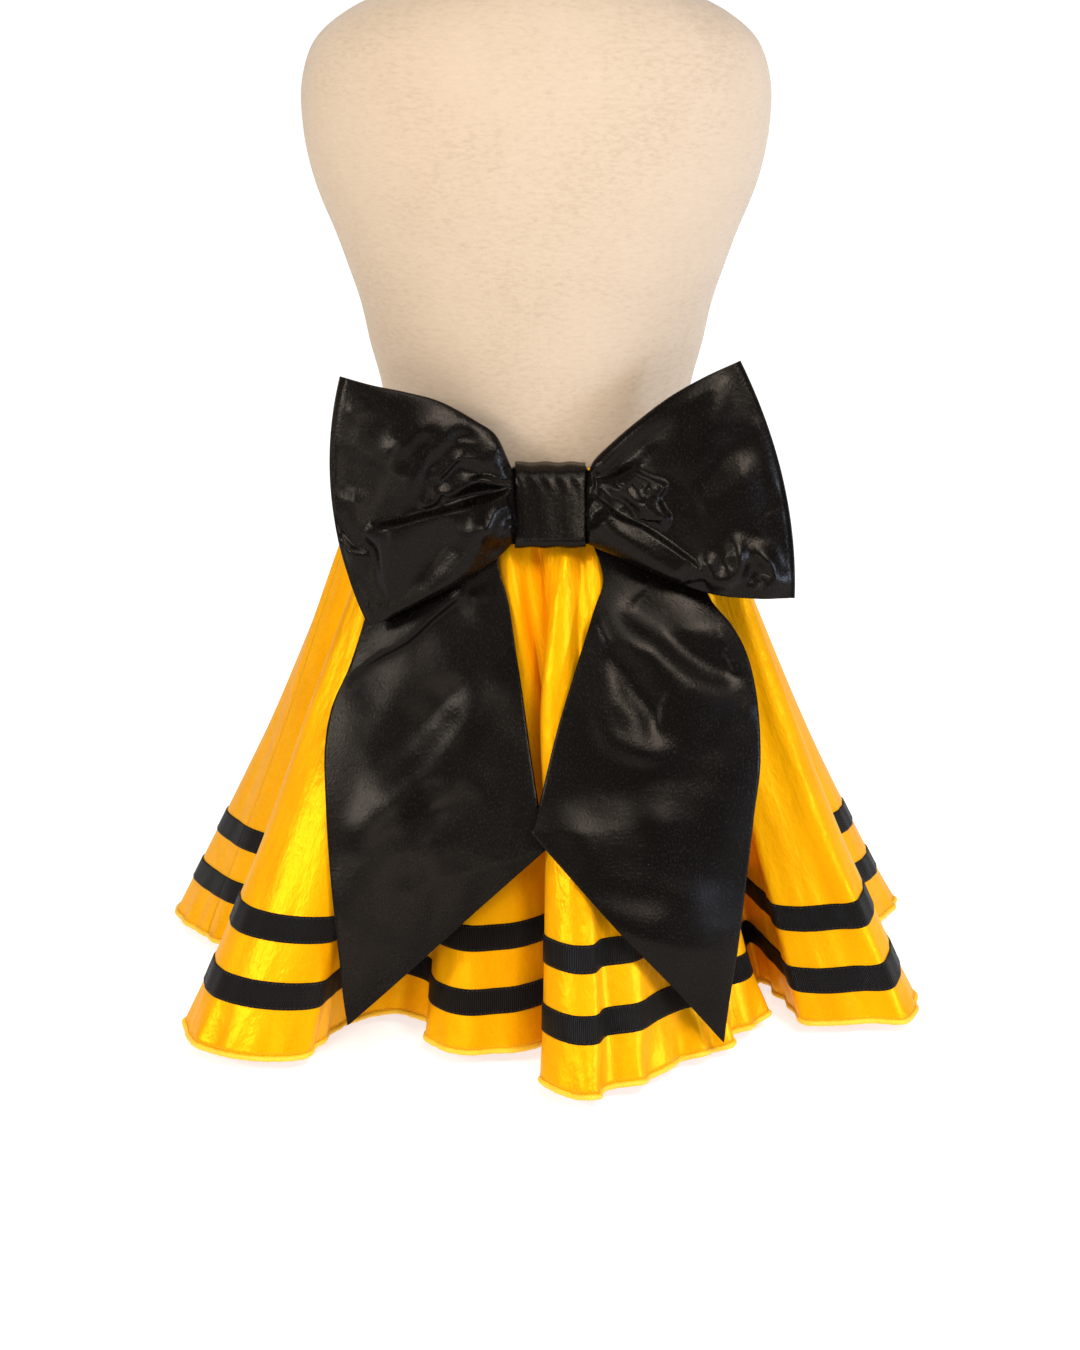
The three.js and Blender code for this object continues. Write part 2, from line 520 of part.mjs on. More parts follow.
// Tails: double cloth strips from the knot, fanning down over the skirt and cut on a slant. A row for
// each section: outer edge, inner edge, and how far the middle stands in front of the straight line.
const TAILS = [
  {
    name: 'bow_tail_left',
    side: -1,
    sections: [
      { outX: -46, outD: 111, outZ: 446, inX: -25, inD: 120, inZ: 395, belly: 0 },
      { outX: -84, outD: 109, outZ: 430, inX: -29, inD: 123, inZ: 388, belly: 0 },
      { outX: -116, outD: 114, outZ: 395, inX: -33, inD: 126, inZ: 381, belly: 1 },
      { outX: -134, outD: 123, outZ: 345, inX: -31, inD: 129, inZ: 371, belly: 2 },
      { outX: -150, outD: 131, outZ: 297, inX: -25, inD: 135, inZ: 352, belly: 4 },
      { outX: -164, outD: 140, outZ: 266, inX: -19, inD: 147, inZ: 316, belly: 5 },
      { outX: -169, outD: 153, outZ: 238, inX: -14, inD: 158, inZ: 286, belly: 5 },
      { outX: -168, outD: 171, outZ: 200, inX: -8, inD: 177, inZ: 247, belly: 5 },
      { outX: -165, outD: 188, outZ: 156, inX: -2, inD: 197, inZ: 212, belly: 4 },
      { outX: -161, outD: 204, outZ: 121, inX: 5, inD: 217, inZ: 176, belly: 3 },
      { outX: -156, outD: 219, outZ: 81, inX: -54, inD: 224, inZ: 123, belly: 1 },
      { outX: -153, outD: 228, outZ: 55, inX: -109, inD: 229, inZ: 72, belly: 0 },
      { outX: -150, outD: 233, outZ: 36, inX: -147, inD: 233, inZ: 38, belly: 0 },
    ],
    ridges: [
      { from: [-38, 378], to: [-162, 268], height: 5, width: 8 },
      { from: [-20, 262], to: [-150, 150], height: 4, width: 22 },
    ],
  },
  {
    name: 'bow_tail_right',
    side: 1,
    sections: [
      { outX: 62, outD: 111, outZ: 446, inX: 41, inD: 121, inZ: 394, belly: 0 },
      { outX: 98, outD: 112, outZ: 430, inX: 46, inD: 129, inZ: 382, belly: 0 },
      { outX: 122, outD: 121, outZ: 392, inX: 49, inD: 136, inZ: 367, belly: 2 },
      { outX: 132, outD: 136, outZ: 355, inX: 42, inD: 148, inZ: 348, belly: 6 },
      { outX: 149, outD: 145, outZ: 335, inX: 35, inD: 159, inZ: 328, belly: 8 },
      { outX: 160, outD: 151, outZ: 316, inX: 25, inD: 173, inZ: 299, belly: 8 },
      { outX: 168, outD: 161, outZ: 286, inX: 12, inD: 191, inZ: 259, belly: 8 },
      { outX: 171, outD: 182, outZ: 236, inX: 0, inD: 208, inZ: 212, belly: 8 },
      { outX: 166, outD: 196, outZ: 197, inX: -7, inD: 221, inZ: 191, belly: 10 },
      { outX: 159, outD: 214, outZ: 141, inX: 23, inD: 236, inZ: 160, belly: 10 },
      { outX: 153, outD: 228, outZ: 96, inX: 60, inD: 252, inZ: 122, belly: 8 },
      { outX: 147, outD: 236, outZ: 58, inX: 105, inD: 247, inZ: 71, belly: 2 },
      { outX: 143, outD: 241, outZ: 25, inX: 140, inD: 241, inZ: 28, belly: 0 },
    ],
    ridges: [
      { from: [62, 345], to: [172, 300], height: 6, width: 10 },
      { from: [30, 325], to: [110, 245], height: 5, width: 12 },
    ],
  },
];
const TAIL_LENGTH_STEPS = 20;
const TAIL_WIDTH_STEPS = 8;

function tailGeometry({ side, sections, ridges }) {
  const outEdge = edgeThrough(sections, 'outX', 'outD', 'outZ');
  const inEdge = edgeThrough(sections, 'inX', 'inD', 'inZ');
  const rootRow = (x) => {
    const top = KNOT.z + ROOT_HALF_HEIGHT - TAIL_ROOT_INSET;
    const low = KNOT.z - ROOT_HALF_HEIGHT + TAIL_ROOT_INSET;
    return range(TAIL_WIDTH_STEPS + 1).map((k) => {
      const z = mix(top, low, k / TAIL_WIDTH_STEPS);
      return new THREE.Vector3(x, -(knotBack(z) + TAIL_ROOT_BACK + TAIL_WALL), z);
    });
  };
  const mouthX = KNOT.x + side * (KNOT.width / 2 + KNOT_MOUTH);
  const grid = [rootRow(KNOT.x + side * SEAM_GAP / 2), rootRow(mouthX)];
  for (const i of range(TAIL_LENGTH_STEPS)) {
    const t = i / (TAIL_LENGTH_STEPS - 1);
    const at = t * (sections.length - 1);
    const index = Math.min(Math.floor(at), sections.length - 2);
    const belly = mix(sections[index].belly, sections[index + 1].belly, at - index);
    grid.push(range(TAIL_WIDTH_STEPS + 1).map((k) => {
      const across = k / TAIL_WIDTH_STEPS;
      const point = outEdge(t).lerp(inEdge(t), across);
      const arch = 4 * across * (1 - across);
      point.y -= belly * arch + ridgeHeight(ridges, point.x, point.z) * arch ** 0.5;
      return point;
    }));
  }
  const behind = grid.map((row) => row.map((p) => new THREE.Vector3(p.x, p.y + TAIL_WALL, p.z)));
  return wall(grid, behind);
}
TAILS.forEach((tail) => add(tail.name, tailGeometry(tail), blackSatin));

// ---- centre the whole over the origin ----------------------------------------------------------
const box = new THREE.Box3().setFromObject(part);
part.position.set(-(box.min.x + box.max.x) / 2, -(box.min.y + box.max.y) / 2, 0);
part.name = 'ruffled_skirt_on_dress_form';

export default part;
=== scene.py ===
"""Looks for a short yellow circle skirt with two rows of black grosgrain ribbon and a big black
satin bow at the back waist, on a limbless jersey-covered dress form.

Sizes are in millimetres in the garment's own frame, and metres once a mesh is made: -Y is the
garment's back, +Z is up, and the hem stands 10 mm over the floor.
"""

import math

import bpy
import numpy as np
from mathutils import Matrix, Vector
from mathutils.bvhtree import BVHTree


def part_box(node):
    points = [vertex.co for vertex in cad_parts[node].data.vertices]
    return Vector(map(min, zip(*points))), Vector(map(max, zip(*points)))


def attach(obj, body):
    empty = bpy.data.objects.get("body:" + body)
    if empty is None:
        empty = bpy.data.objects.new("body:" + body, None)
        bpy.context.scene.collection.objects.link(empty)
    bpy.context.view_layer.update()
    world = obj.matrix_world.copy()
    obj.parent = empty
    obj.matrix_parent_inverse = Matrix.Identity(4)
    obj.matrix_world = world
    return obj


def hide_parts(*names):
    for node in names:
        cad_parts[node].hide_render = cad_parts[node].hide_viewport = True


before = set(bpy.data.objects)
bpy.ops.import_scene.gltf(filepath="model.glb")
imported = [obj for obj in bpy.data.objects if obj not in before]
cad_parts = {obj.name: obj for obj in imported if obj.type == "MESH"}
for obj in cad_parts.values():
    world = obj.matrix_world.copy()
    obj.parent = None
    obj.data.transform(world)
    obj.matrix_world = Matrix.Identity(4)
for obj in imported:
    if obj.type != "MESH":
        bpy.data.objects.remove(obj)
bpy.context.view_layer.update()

MM = 0.001
AXIS_X = -3.0  # the form stands a little left of the hem's centre
base_low, base_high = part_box("form_base")
SHIFT = np.array(
    [(base_low.x + base_high.x) / 2 - AXIS_X * MM, (base_low.y + base_high.y) / 2, 0.0]
)

# ---- driving dimensions --------------------------------------------------------------------------
WAIST_Z = 438.0
WAIST_HALF_WIDTH = 120.0
WAIST_HALF_DEPTH = 92.0
SEAM_GAP = 0.3
BAND_LOW, BAND_HIGH, BAND_WALL = -23.0, 9.0, 2.0
SKIRT_TOP_Z = WAIST_Z + BAND_LOW - SEAM_GAP
HEM_Z = 10.0
SKIRT_STAND_OFF = 5.2
PUFF_HEIGHT, PUFF_LEAN, PUFF_RISE = 22.0, 6.0, 0.06
SLANT = 459.0  # waist seam to hem, along the cloth
SATIN = 0.9  # thickness of the skirt's cloth
RIBBON_WIDTH, RIBBON_WALL = 22.0, 0.6
LOWER_RIBBON_FROM_HEM, RIBBON_SPACING = 42.0, 31.5
BEAD_RADIUS = 2.3
BEAD_SHARE = 6 / SLANT


# ---- helpers -------------------------------------------------------------------------------------


def clamp(t):
    return np.clip(t, 0.0, 1.0)


def smooth(t):
    t = clamp(t)
    return t * t * (3 - 2 * t)


def mix(a, b, t):
    return a + (b - a) * t


def bump(distance, width):
    return np.exp(-((distance / width) ** 2))


def unit(vectors):
    return vectors / np.maximum(np.linalg.norm(vectors, axis=-1, keepdims=True), 1e-9)


def turns(count):
    """Even angles once round."""
    return 2 * math.pi * np.arange(count) / count


def run_length(points):
    """Distance from the first of a run of points to each."""
    return np.concatenate([[0], np.cumsum(np.linalg.norm(np.diff(points, axis=0), axis=1))])


def new_object(name, data):
    thing = bpy.data.objects.new(name, data)
    bpy.context.scene.collection.objects.link(thing)
    return thing


def carried(piece, node=None):
    """Hangs a piece on the root body and hides the solid that it replaces."""
    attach(piece, "root")
    if node:
        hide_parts(node)
    return piece


def mesh_piece(name, points, faces, uv, material, round_u=None, flat=0):
    """Mesh object from points in millimetres, quads or triangles, and one UV per point in metres.

    `round_u` is the length of a closed ring of UVs, so that its last faces run on past the first.
    The last `flat` faces keep their edges crisp.
    """
    mesh = bpy.data.meshes.new(name)
    placed = np.asarray(points, float) * MM + SHIFT
    mesh.from_pydata(placed.tolist(), [], [tuple(int(i) for i in f) for f in faces])
    layer = mesh.uv_layers.new(name="cloth")
    index = np.zeros(len(mesh.loops), np.int32)
    mesh.loops.foreach_get("vertex_index", index)
    corner_uv = np.asarray(uv, np.float32)[index]
    if round_u is not None:
        start = np.zeros(len(mesh.polygons), np.int32)
        mesh.polygons.foreach_get("loop_start", start)
        far = np.maximum.reduceat(corner_uv[:, 0], start) > 0.75 * round_u
        sides = np.diff(np.append(start, len(index)))
        wrapped = np.repeat(far, sides) & (corner_uv[:, 0] < 0.25 * round_u)
        corner_uv[wrapped, 0] += round_u
    layer.data.foreach_set("uv", corner_uv.ravel())
    mesh.polygons.foreach_set("use_smooth", [True] * (len(faces) - flat) + [False] * flat)
    mesh.materials.append(material)
    mesh.update()
    return new_object(name, mesh)


def grid_normals(grid):
    """Unit normals of a grid of points, rows by columns."""
    return unit(np.cross(np.gradient(grid, axis=1), np.gradient(grid, axis=0)))


def grid_faces(rows, columns, wrap, flip=False, start=0):
    i, j = np.meshgrid(
        np.arange(rows - 1), np.arange(columns if wrap else columns - 1), indexing="ij"
    )
    k = (j + 1) % columns
    a, b, c, d = i * columns + j, i * columns + k, (i + 1) * columns + k, (i + 1) * columns + j
    quads = np.stack([a, b, c, d] if not flip else [a, d, c, b], -1).reshape(-1, 4)
    return quads + start


def shell(name, outer, inner, uv, material, wrap=False, round_u=None, crisp=False):
    """Closed shell between two grids of the same rows and columns, its border crisp or rounded."""
    rows, columns = outer.shape[:2]
    size = rows * columns
    faces = [
        grid_faces(rows, columns, wrap, flip=True),
        grid_faces(rows, columns, wrap, start=size),
    ]

    def strip(run, flip):
        run = np.asarray(run)
        following = np.roll(run, -1) if wrap and len(run) == columns else None
        a = run if following is not None else run[:-1]
        b = following if following is not None else run[1:]
        quads = np.stack([a, b, b + size, a + size], -1)
        faces.append(quads if not flip else quads[:, ::-1])

    strip(np.arange(columns), False)
    strip((rows - 1) * columns + np.arange(columns), True)
    if not wrap:
        strip(np.arange(rows) * columns, True)
        strip(np.arange(rows) * columns + columns - 1, False)
    points = np.concatenate([outer.reshape(-1, 3), inner.reshape(-1, 3)])
    both = np.concatenate([uv.reshape(-1, 2)] * 2)
    border = sum(len(part) for part in faces[2:])
    crisp_faces = border if crisp else 0
    return mesh_piece(name, points, np.concatenate(faces), both, material, round_u, crisp_faces)


def catmull_rom(points, t):
    """Centripetal Catmull-Rom through table rows at even steps of the row index, t from 0 to 1."""
    points = np.asarray(points, float)
    padded = np.concatenate([[2 * points[0] - points[1]], points, [2 * points[-1] - points[-2]]])
    at = np.clip(np.asarray(t, float), 0, 1) * (len(points) - 1)
    index = np.minimum(at.astype(int), len(points) - 2)
    return _centripetal(
        padded[index], padded[index + 1], padded[index + 2], padded[index + 3], at - index
    )


def _centripetal(p0, p1, p2, p3, t):
    d0, d1, d2 = (
        np.maximum(np.linalg.norm(b - a, axis=-1, keepdims=True) ** 0.5, 1e-4)
        for a, b in ((p0, p1), (p1, p2), (p2, p3))
    )
    m1 = ((p1 - p0) / d0 - (p2 - p0) / (d0 + d1) + (p2 - p1) / d1) * d1
    m2 = ((p2 - p1) / d1 - (p3 - p1) / (d1 + d2) + (p3 - p2) / d2) * d1
    t = np.asarray(t, float)[..., None]
    t2, t3 = t * t, t * t * t
    near = p1 * (2 * t3 - 3 * t2 + 1) + m1 * (t3 - 2 * t2 + t)
    return near + p2 * (3 * t2 - 2 * t3) + m2 * (t3 - t2)


# ---- hem and skirt surface -----------------------------------------------------------------------
# The hem from above, once round: bearing from the back centre, + towards +X, and distance from the
# axis.
HEM = [
    # left back fold
    (-109, 265), (-106, 315), (-101, 331), (-94, 305), (-87.5, 274), (-80, 228), (-72, 205),
    # left fold, overhanging on its right
    (-66, 235), (-62, 300), (-56.6, 340), (-51.6, 349), (-47, 344), (-43.2, 334), (-39.6, 319),
    (-37.2, 301), (-38.6, 278), (-41.5, 240), (-38, 198),
    # shallow fold left of the centre
    (-28.4, 196), (-24.5, 221), (-21.4, 233), (-14.8, 241), (-8.3, 233), (-4, 228), (4, 208),
    (9, 190),
    # broad fold right of the centre
    (8, 222), (3.5, 252), (0.5, 280), (4.5, 312), (8.5, 314), (10.3, 300), (15.7, 296), (20.6, 278),
    (27.4, 268), (34, 267), (37.8, 249), (45, 249), (63.6, 205),
    # right fold, overhanging on its left
    (55, 253), (50, 274), (52, 292), (57, 320), (59, 342), (64.5, 341), (69.5, 327), (75.5, 270),
    (85, 205),
    # right back fold
    (92, 240), (97.6, 302), (106, 333), (113, 325), (119, 290), (124, 235), (131, 202),
    # three folds over the garment's front
    (139, 232), (144, 290), (151, 322), (159, 315), (165, 272), (170, 210), (177, 228), (183, 300),
    (190, 318), (198, 310), (205, 265), (211, 203), (218, 240), (222, 298), (230, 325), (238, 318),
    (243, 270), (247, 208),
]
FIRST_HANG = -107.7  # waist bearing from which the first hem station hangs
HEM_STEPS = 48


def hem_table():
    """Dense closed run through the hem stations, with the distance along it."""
    bearing, reach = np.radians([b for b, _ in HEM]), np.array([r for _, r in HEM], float)
    stations = np.stack([reach * np.sin(bearing), -reach * np.cos(bearing)], -1)
    t = np.tile(np.arange(HEM_STEPS) / HEM_STEPS, len(stations))
    pick = [np.repeat(np.roll(stations, shift, 0), HEM_STEPS, 0) for shift in (1, 0, -1, -2)]
    dense = _centripetal(*pick, t)
    dense = np.concatenate([dense, dense[:1]])
    return dense, run_length(dense)


HEM_RUN, HEM_ALONG = hem_table()
HEM_LENGTH = HEM_ALONG[-1]


def hem_at(hang):
    distance = (((hang - FIRST_HANG) / 360) % 1) * HEM_LENGTH
    x = np.interp(distance, HEM_ALONG, HEM_RUN[:, 0])
    y = np.interp(distance, HEM_ALONG, HEM_RUN[:, 1])
    return np.stack([x, y, np.full_like(x, HEM_Z)], -1)


def skirt_form(hang, share):
    """The skirt's large folds: waist bearing in degrees, share 0 at the seam to 1 at the hem."""
    angle = np.radians(hang)
    sine, cosine, level = np.sin(angle), np.cos(angle), np.zeros_like(angle)
    waist = np.stack(
        [
            AXIS_X + (WAIST_HALF_WIDTH + SKIRT_STAND_OFF) * sine,
            -(WAIST_HALF_DEPTH + SKIRT_STAND_OFF) * cosine,
            level + SKIRT_TOP_Z,
        ],
        -1,
    )
    outward = unit(np.stack([sine / WAIST_HALF_WIDTH, -cosine / WAIST_HALF_DEPTH, level], -1))
    puff = (PUFF_HEIGHT + PUFF_LEAN * sine) * (1 - np.exp(-share / PUFF_RISE)) * (1 - share) ** 3
    return mix(waist, hem_at(hang), share[..., None]) + outward * puff[..., None]


NORMAL_DEGREES, NORMAL_SHARE = 0.4, 0.01  # half the span that a normal of the form is taken over


def skirt_normal(hang, share):
    low, high = np.maximum(share - NORMAL_SHARE, 0), np.minimum(share + NORMAL_SHARE, 1)
    across = skirt_form(hang + NORMAL_DEGREES, share) - skirt_form(hang - NORMAL_DEGREES, share)
    down = skirt_form(hang, high) - skirt_form(hang, low)
    return -unit(np.cross(across, down))


rng = np.random.default_rng(11)


def wave_bank(count, cycles, slope, spread):
    """Seeded waves for uneven cloth: cycles round the skirt, drift along it, phase and weight."""
    return [
        (
            int(n),
            rng.uniform(-slope, slope),
            rng.uniform(0, 2 * math.pi),
            rng.uniform(1 - spread, 1 + spread),
        )
        for n in rng.integers(*cycles, count)
    ]


LONG_WAVES = wave_bank(7, (14, 30), 3.0, 0.5)
SHORT_WAVES = wave_bank(9, (38, 84), 7.0, 0.6)
HEM_WAVES = wave_bank(6, (70, 130), 5.0, 0.5)
PUCKER_WAVES = wave_bank(6, (120, 230), 5.0, 0.5)


def waves(bank, hang, share):
    angle = np.radians(hang)
    total = sum(w * np.cos(n * angle + drift * share + phase) for n, drift, phase, w in bank)
    return total / math.sqrt(len(bank))


def wander(hang, cycles, phase):
    """Slow variation round the skirt, 0 to 1."""
    angle = np.radians(hang)
    slow = 0.3 * np.cos(cycles * angle + phase)
    return 0.5 + slow + 0.2 * np.cos((cycles + 2) * angle - 2 * phase)


# Creases of the skirt: waist bearing at the top and at the bottom, share they start and end at,
# height, and half width in degrees.
SKIRT_CREASES = [
    # under the knot, between the tails
    (-11, -4, 0, 0.64, 7.5, 2.5), (-1, -0.5, 0, 0.7, -9, 1.8), (11, 4, 0, 0.64, 7.5, 2.5),
    (16, 10, 0, 0.45, -4, 2), (-17, -11, 0, 0.45, -4, 2),
    # left side
    (-41, -44, 0.02, 0.55, 4, 3), (-50, -53, 0, 0.6, -4, 2.8), (-58, -60, 0.02, 0.7, 4.5, 2.8),
    (-66, -70, 0, 0.62, -4.5, 2.6), (-73, -77, 0.02, 0.66, 4.5, 2.6), (-81, -86, 0, 0.6, -3.5, 2.6),
    (-92, -94, 0, 0.62, 4, 3), (-103, -101, 0.02, 0.66, -4, 3),
    # right side
    (42, 44, 0, 0.55, -3.5, 2.6), (52, 54, 0.02, 0.66, 4, 2.8), (60, 61, 0, 0.55, -4, 2.4),
    (68, 71, 0.02, 0.7, 4.5, 2.8), (77, 82, 0, 0.6, -4, 2.8), (88, 90, 0.02, 0.64, 4, 3),
    (98, 96, 0, 0.6, -3.5, 2.8),
    # the garment's front
    (112, 114, 0.02, 0.66, 4, 3), (123, 121, 0, 0.6, -4, 3), (134, 136, 0.02, 0.7, 4.5, 3),
    (146, 149, 0, 0.55, -4, 3), (158, 156, 0.02, 0.64, 4, 3.2), (170, 172, 0, 0.66, -4, 3),
    (182, 180, 0.02, 0.6, 4, 3), (193, 195, 0, 0.62, -4, 3), (205, 203, 0.02, 0.68, 4.5, 3),
    (217, 219, 0, 0.58, -4, 3), (229, 227, 0.02, 0.66, 4, 3), (241, 243, 0, 0.6, -3.5, 3),
]


def turn_between(hang, other):
    return (hang - other + 180) % 360 - 180


def gather_phase(angle):
    """Phase of the 32 gathers at the waist, unevenly spread round it."""
    return 32 * angle + 1.6 * np.sin(3 * angle + 1) + 1.2 * np.sin(7 * angle + 0.5)


GATHER_HEIGHT = 1.9
LONG_HEIGHT, SHORT_HEIGHT = 1.5, 0.32  # of the long soft waves and the short ones
PUCKER_HEIGHT, PUCKER_SHARE = 0.3, 0.05  # by the ribbons' seams
SEAM_DEPTH, SEAM_DEGREES = 0.05, 0.25  # of the groove at the side seams
HEM_WAVE_START = 0.86  # share from which the hem's own waves grow
# Small scallops of the rolled hem on the broad fold right of the centre.
SCALLOPS = {"hang": 33.0, "spread": 14.0, "height": 5.5, "cycles": 92, "phase": 0.8}


def skirt_relief(hang, share):
    """Gathers, soft creases and ripples on the large folds, in millimetres outwards."""
    angle = np.radians(hang)
    reach = 0.12 + 0.08 * wander(hang, 9, 2.0)
    gathers = GATHER_HEIGHT * (0.7 + 0.5 * wander(hang, 5, 0.4)) * np.cos(gather_phase(angle))
    gathers = gathers * np.exp(-share / reach)
    creases = 0
    for top, bottom, start, end, height, width in SKIRT_CREASES:
        along = clamp((share - start) / (end - start))
        centre = mix(top, bottom, along)
        fade = smooth(along / 0.12) * smooth((1 - along) / 0.55)
        away = turn_between(hang, centre)
        creases = creases + height * fade * bump(away, width * (1 + 0.4 * along))
    long = LONG_HEIGHT * waves(LONG_WAVES, hang, share) * smooth(share / 0.15)
    short = SHORT_HEIGHT * waves(SHORT_WAVES, hang, share) * smooth(share / 0.1)
    edge = smooth((share - HEM_WAVE_START) / (1 - HEM_WAVE_START)) ** 1.5
    ripple = edge * (0.8 + 2.6 * wander(hang, 4, 5.0)) * waves(HEM_WAVES, hang, share)
    scallop = edge * bump(turn_between(hang, SCALLOPS["hang"]), SCALLOPS["spread"])
    scallop = scallop * SCALLOPS["height"] * np.cos(SCALLOPS["cycles"] * angle + SCALLOPS["phase"])
    pucker = 0
    for _, bottom in RIBBONS:
        pucker = pucker + bump(share - from_hem(bottom + RIBBON_WIDTH / 2), PUCKER_SHARE)
    pucker = pucker * PUCKER_HEIGHT * waves(PUCKER_WAVES, hang, share)
    pucker = pucker * (0.3 + wander(hang, 6, 1.0))
    seams = sum(bump(turn_between(hang, side), SEAM_DEGREES) for side in (90, -90))
    return gathers + creases + long + short + ripple + scallop + pucker - SEAM_DEPTH * seams


def from_hem(distance):
    return 1 - distance / SLANT


RIBBONS = [
    ("upper", LOWER_RIBBON_FROM_HEM + RIBBON_WIDTH + RIBBON_SPACING),
    ("lower", LOWER_RIBBON_FROM_HEM),
]
# Where the ribbons sit a little nearer the hem: waist bearing, half spread and drop as a share.
DIPS = [(-17, 13, 0.018), (62, 11, 0.03)]


def dipped(hang, share):
    rise = clamp((share - 0.4) / 0.3)
    fall = clamp((1 - BEAD_SHARE - share) / (1 - BEAD_SHARE - 0.95))
    drop = sum(d * bump(hang - centre, spread) for centre, spread, d in DIPS)
    return share + drop * rise * fall


def skirt_cloth(hang, share, out=0.0):
    """Outer face of the finished cloth, moved out along its own normal."""
    place = dipped(hang, share)
    lift = skirt_relief(hang, place) + out
    return skirt_form(hang, place) + skirt_normal(hang, place) * lift[..., None]


def skirt_uv(hang, share):
    """Where a point lies on the flat cut, in metres: round the hem, and from the waist down."""
    return np.stack([hang / 360 * HEM_LENGTH * MM, share * SLANT * MM], -1)


PANELS = [("back", -90.0), ("front", 90.0)]
PANEL_COLUMNS, PANEL_ROWS = 440, 86


# ---- node materials ------------------------------------------------------------------------------


class Nodes:
    """A material's node tree with short calls for the nodes used here."""

    def __init__(self, name):
        self.material = bpy.data.materials.new(name)
        self.material.use_nodes = True
        self.tree = self.material.node_tree
        self.shader = self.tree.nodes["Principled BSDF"]

    def add(self, kind, inputs=(), **settings):
        """New node with its settings, and a value or another node's output for its inputs."""
        node = self.tree.nodes.new(kind)
        for key, value in settings.items():
            setattr(node, key, value)
        for socket, value in dict(inputs).items():
            self.put(node.inputs[socket], value)
        return node

    def link(self, source, target):
        self.tree.links.new(source, target)

    def put(self, socket, value):
        if isinstance(value, bpy.types.NodeSocket):
            self.link(value, socket)
        elif socket.type == "RGBA":
            socket.default_value = (*value, 1)
        else:
            socket.default_value = value

    def math(self, operation, a, b=0.0):
        return self.add("ShaderNodeMath", {0: a, 1: b}, operation=operation).outputs[0]

    def stretched(self, source, scale):
        return self.add("ShaderNodeMapping", {"Vector": source, "Scale": scale}).outputs[0]

    def cloth_uv(self):
        """The flat cut's coordinates in metres."""
        return self.add("ShaderNodeUVMap", uv_map="cloth").outputs[0]

    def place(self, scale=(1, 1, 1)):
        """The piece's own coordinates in metres, stretched for the texture that reads them."""
        return self.stretched(self.add("ShaderNodeTexCoord").outputs["Object"], scale)

    def noise(self, scale, stretch=(1, 1), detail=3.0, rough=0.55, vector=None):
        place = vector or self.stretched(self.cloth_uv(), (*stretch, 1))
        inputs = {"Vector": place, "Scale": scale, "Detail": detail, "Roughness": rough}
        return self.add("ShaderNodeTexNoise", inputs).outputs["Fac"]

    def between(self, fac, low, high):
        """Maps 0..1 to low..high."""
        inputs = {"Value": fac, "To Min": low, "To Max": high}
        return self.add("ShaderNodeMapRange", inputs).outputs[0]

    def ramp(self, fac, stops):
        node = self.add("ShaderNodeValToRGB", {0: fac})
        elements = node.color_ramp.elements
        while len(elements) < len(stops):
            elements.new(0.5)
        for element, (place, colour) in zip(elements, stops):
            element.position = place
            element.color = (*colour, 1)
        return node.outputs[0]

    def tint(self, fac, a, b):
        return self.add("ShaderNodeMix", {0: fac, 6: a, 7: b}, data_type="RGBA").outputs[2]

    def bump(self, height, distance, strength=1.0, under=None):
        inputs = {"Height": height, "Distance": distance, "Strength": strength}
        if under is not None:
            inputs["Normal"] = under
        return self.add("ShaderNodeBump", inputs).outputs[0]

    def threads(self, pitch, axis):
        """Even rows of thread across the cut: a sine of that pitch in metres along u or v."""
        split = self.add("ShaderNodeSeparateXYZ", {0: self.cloth_uv()})
        turned = self.math("MULTIPLY", split.outputs[axis], 2 * math.pi / pitch)
        inputs = {"Value": self.math("SINE", turned), "From Min": -1.0}
        return self.add("ShaderNodeMapRange", inputs).outputs[0]

    def fixed(self, socket, value):
        """A number or colour that is the same all over."""
        self.put(self.shader.inputs[socket], value)

    def finish(self, colour, roughness, normal=None):
        self.put(self.shader.inputs["Base Color"], colour)
        self.put(self.shader.inputs["Roughness"], roughness)
        if normal is not None:
            self.link(normal, self.shader.inputs["Normal"])
        return self.material


def satin(name, tones, speck, roughness, anisotropy, lustre, specular, gloss_tint, broken, frayed):
    """Satin: long floats that stretch the highlight, an uneven lustre, a fine broken grain, and
    lighter specks of painted sparkle on that grain.
    """
    n = Nodes(name)
    cloud = n.noise(26, (1, 0.45), detail=4)
    crinkle = n.noise(34, (1, 0.6), detail=4, rough=0.6)
    grain = n.noise(560, (1, 0.7), detail=3, rough=0.65)
    colour = n.tint(n.between(cloud, -0.3, 1.3), *tones)
    # Lighter specks where the grain is high: painted sparkle standing in for glinting threads.
    colour = n.tint(n.ramp(grain, [(0.55, (0, 0, 0)), (0.72, (1, 1, 1))]), colour, speck)
    rough = n.math("ADD", n.between(grain, *roughness), n.between(cloud, -0.05, 0.05))
    normal = n.bump(crinkle, broken, 0.5)
    normal = n.bump(grain, frayed, 0.5, normal)
    tangent = n.add("ShaderNodeTangent", direction_type="UV_MAP", uv_map="cloth")
    n.link(tangent.outputs[0], n.shader.inputs["Tangent"])
    n.fixed("Anisotropic", anisotropy)
    n.fixed("Metallic", lustre)
    n.fixed("Specular IOR Level", specular)
    n.fixed("Specular Tint", gloss_tint)
    return n.finish(colour, rough, normal)


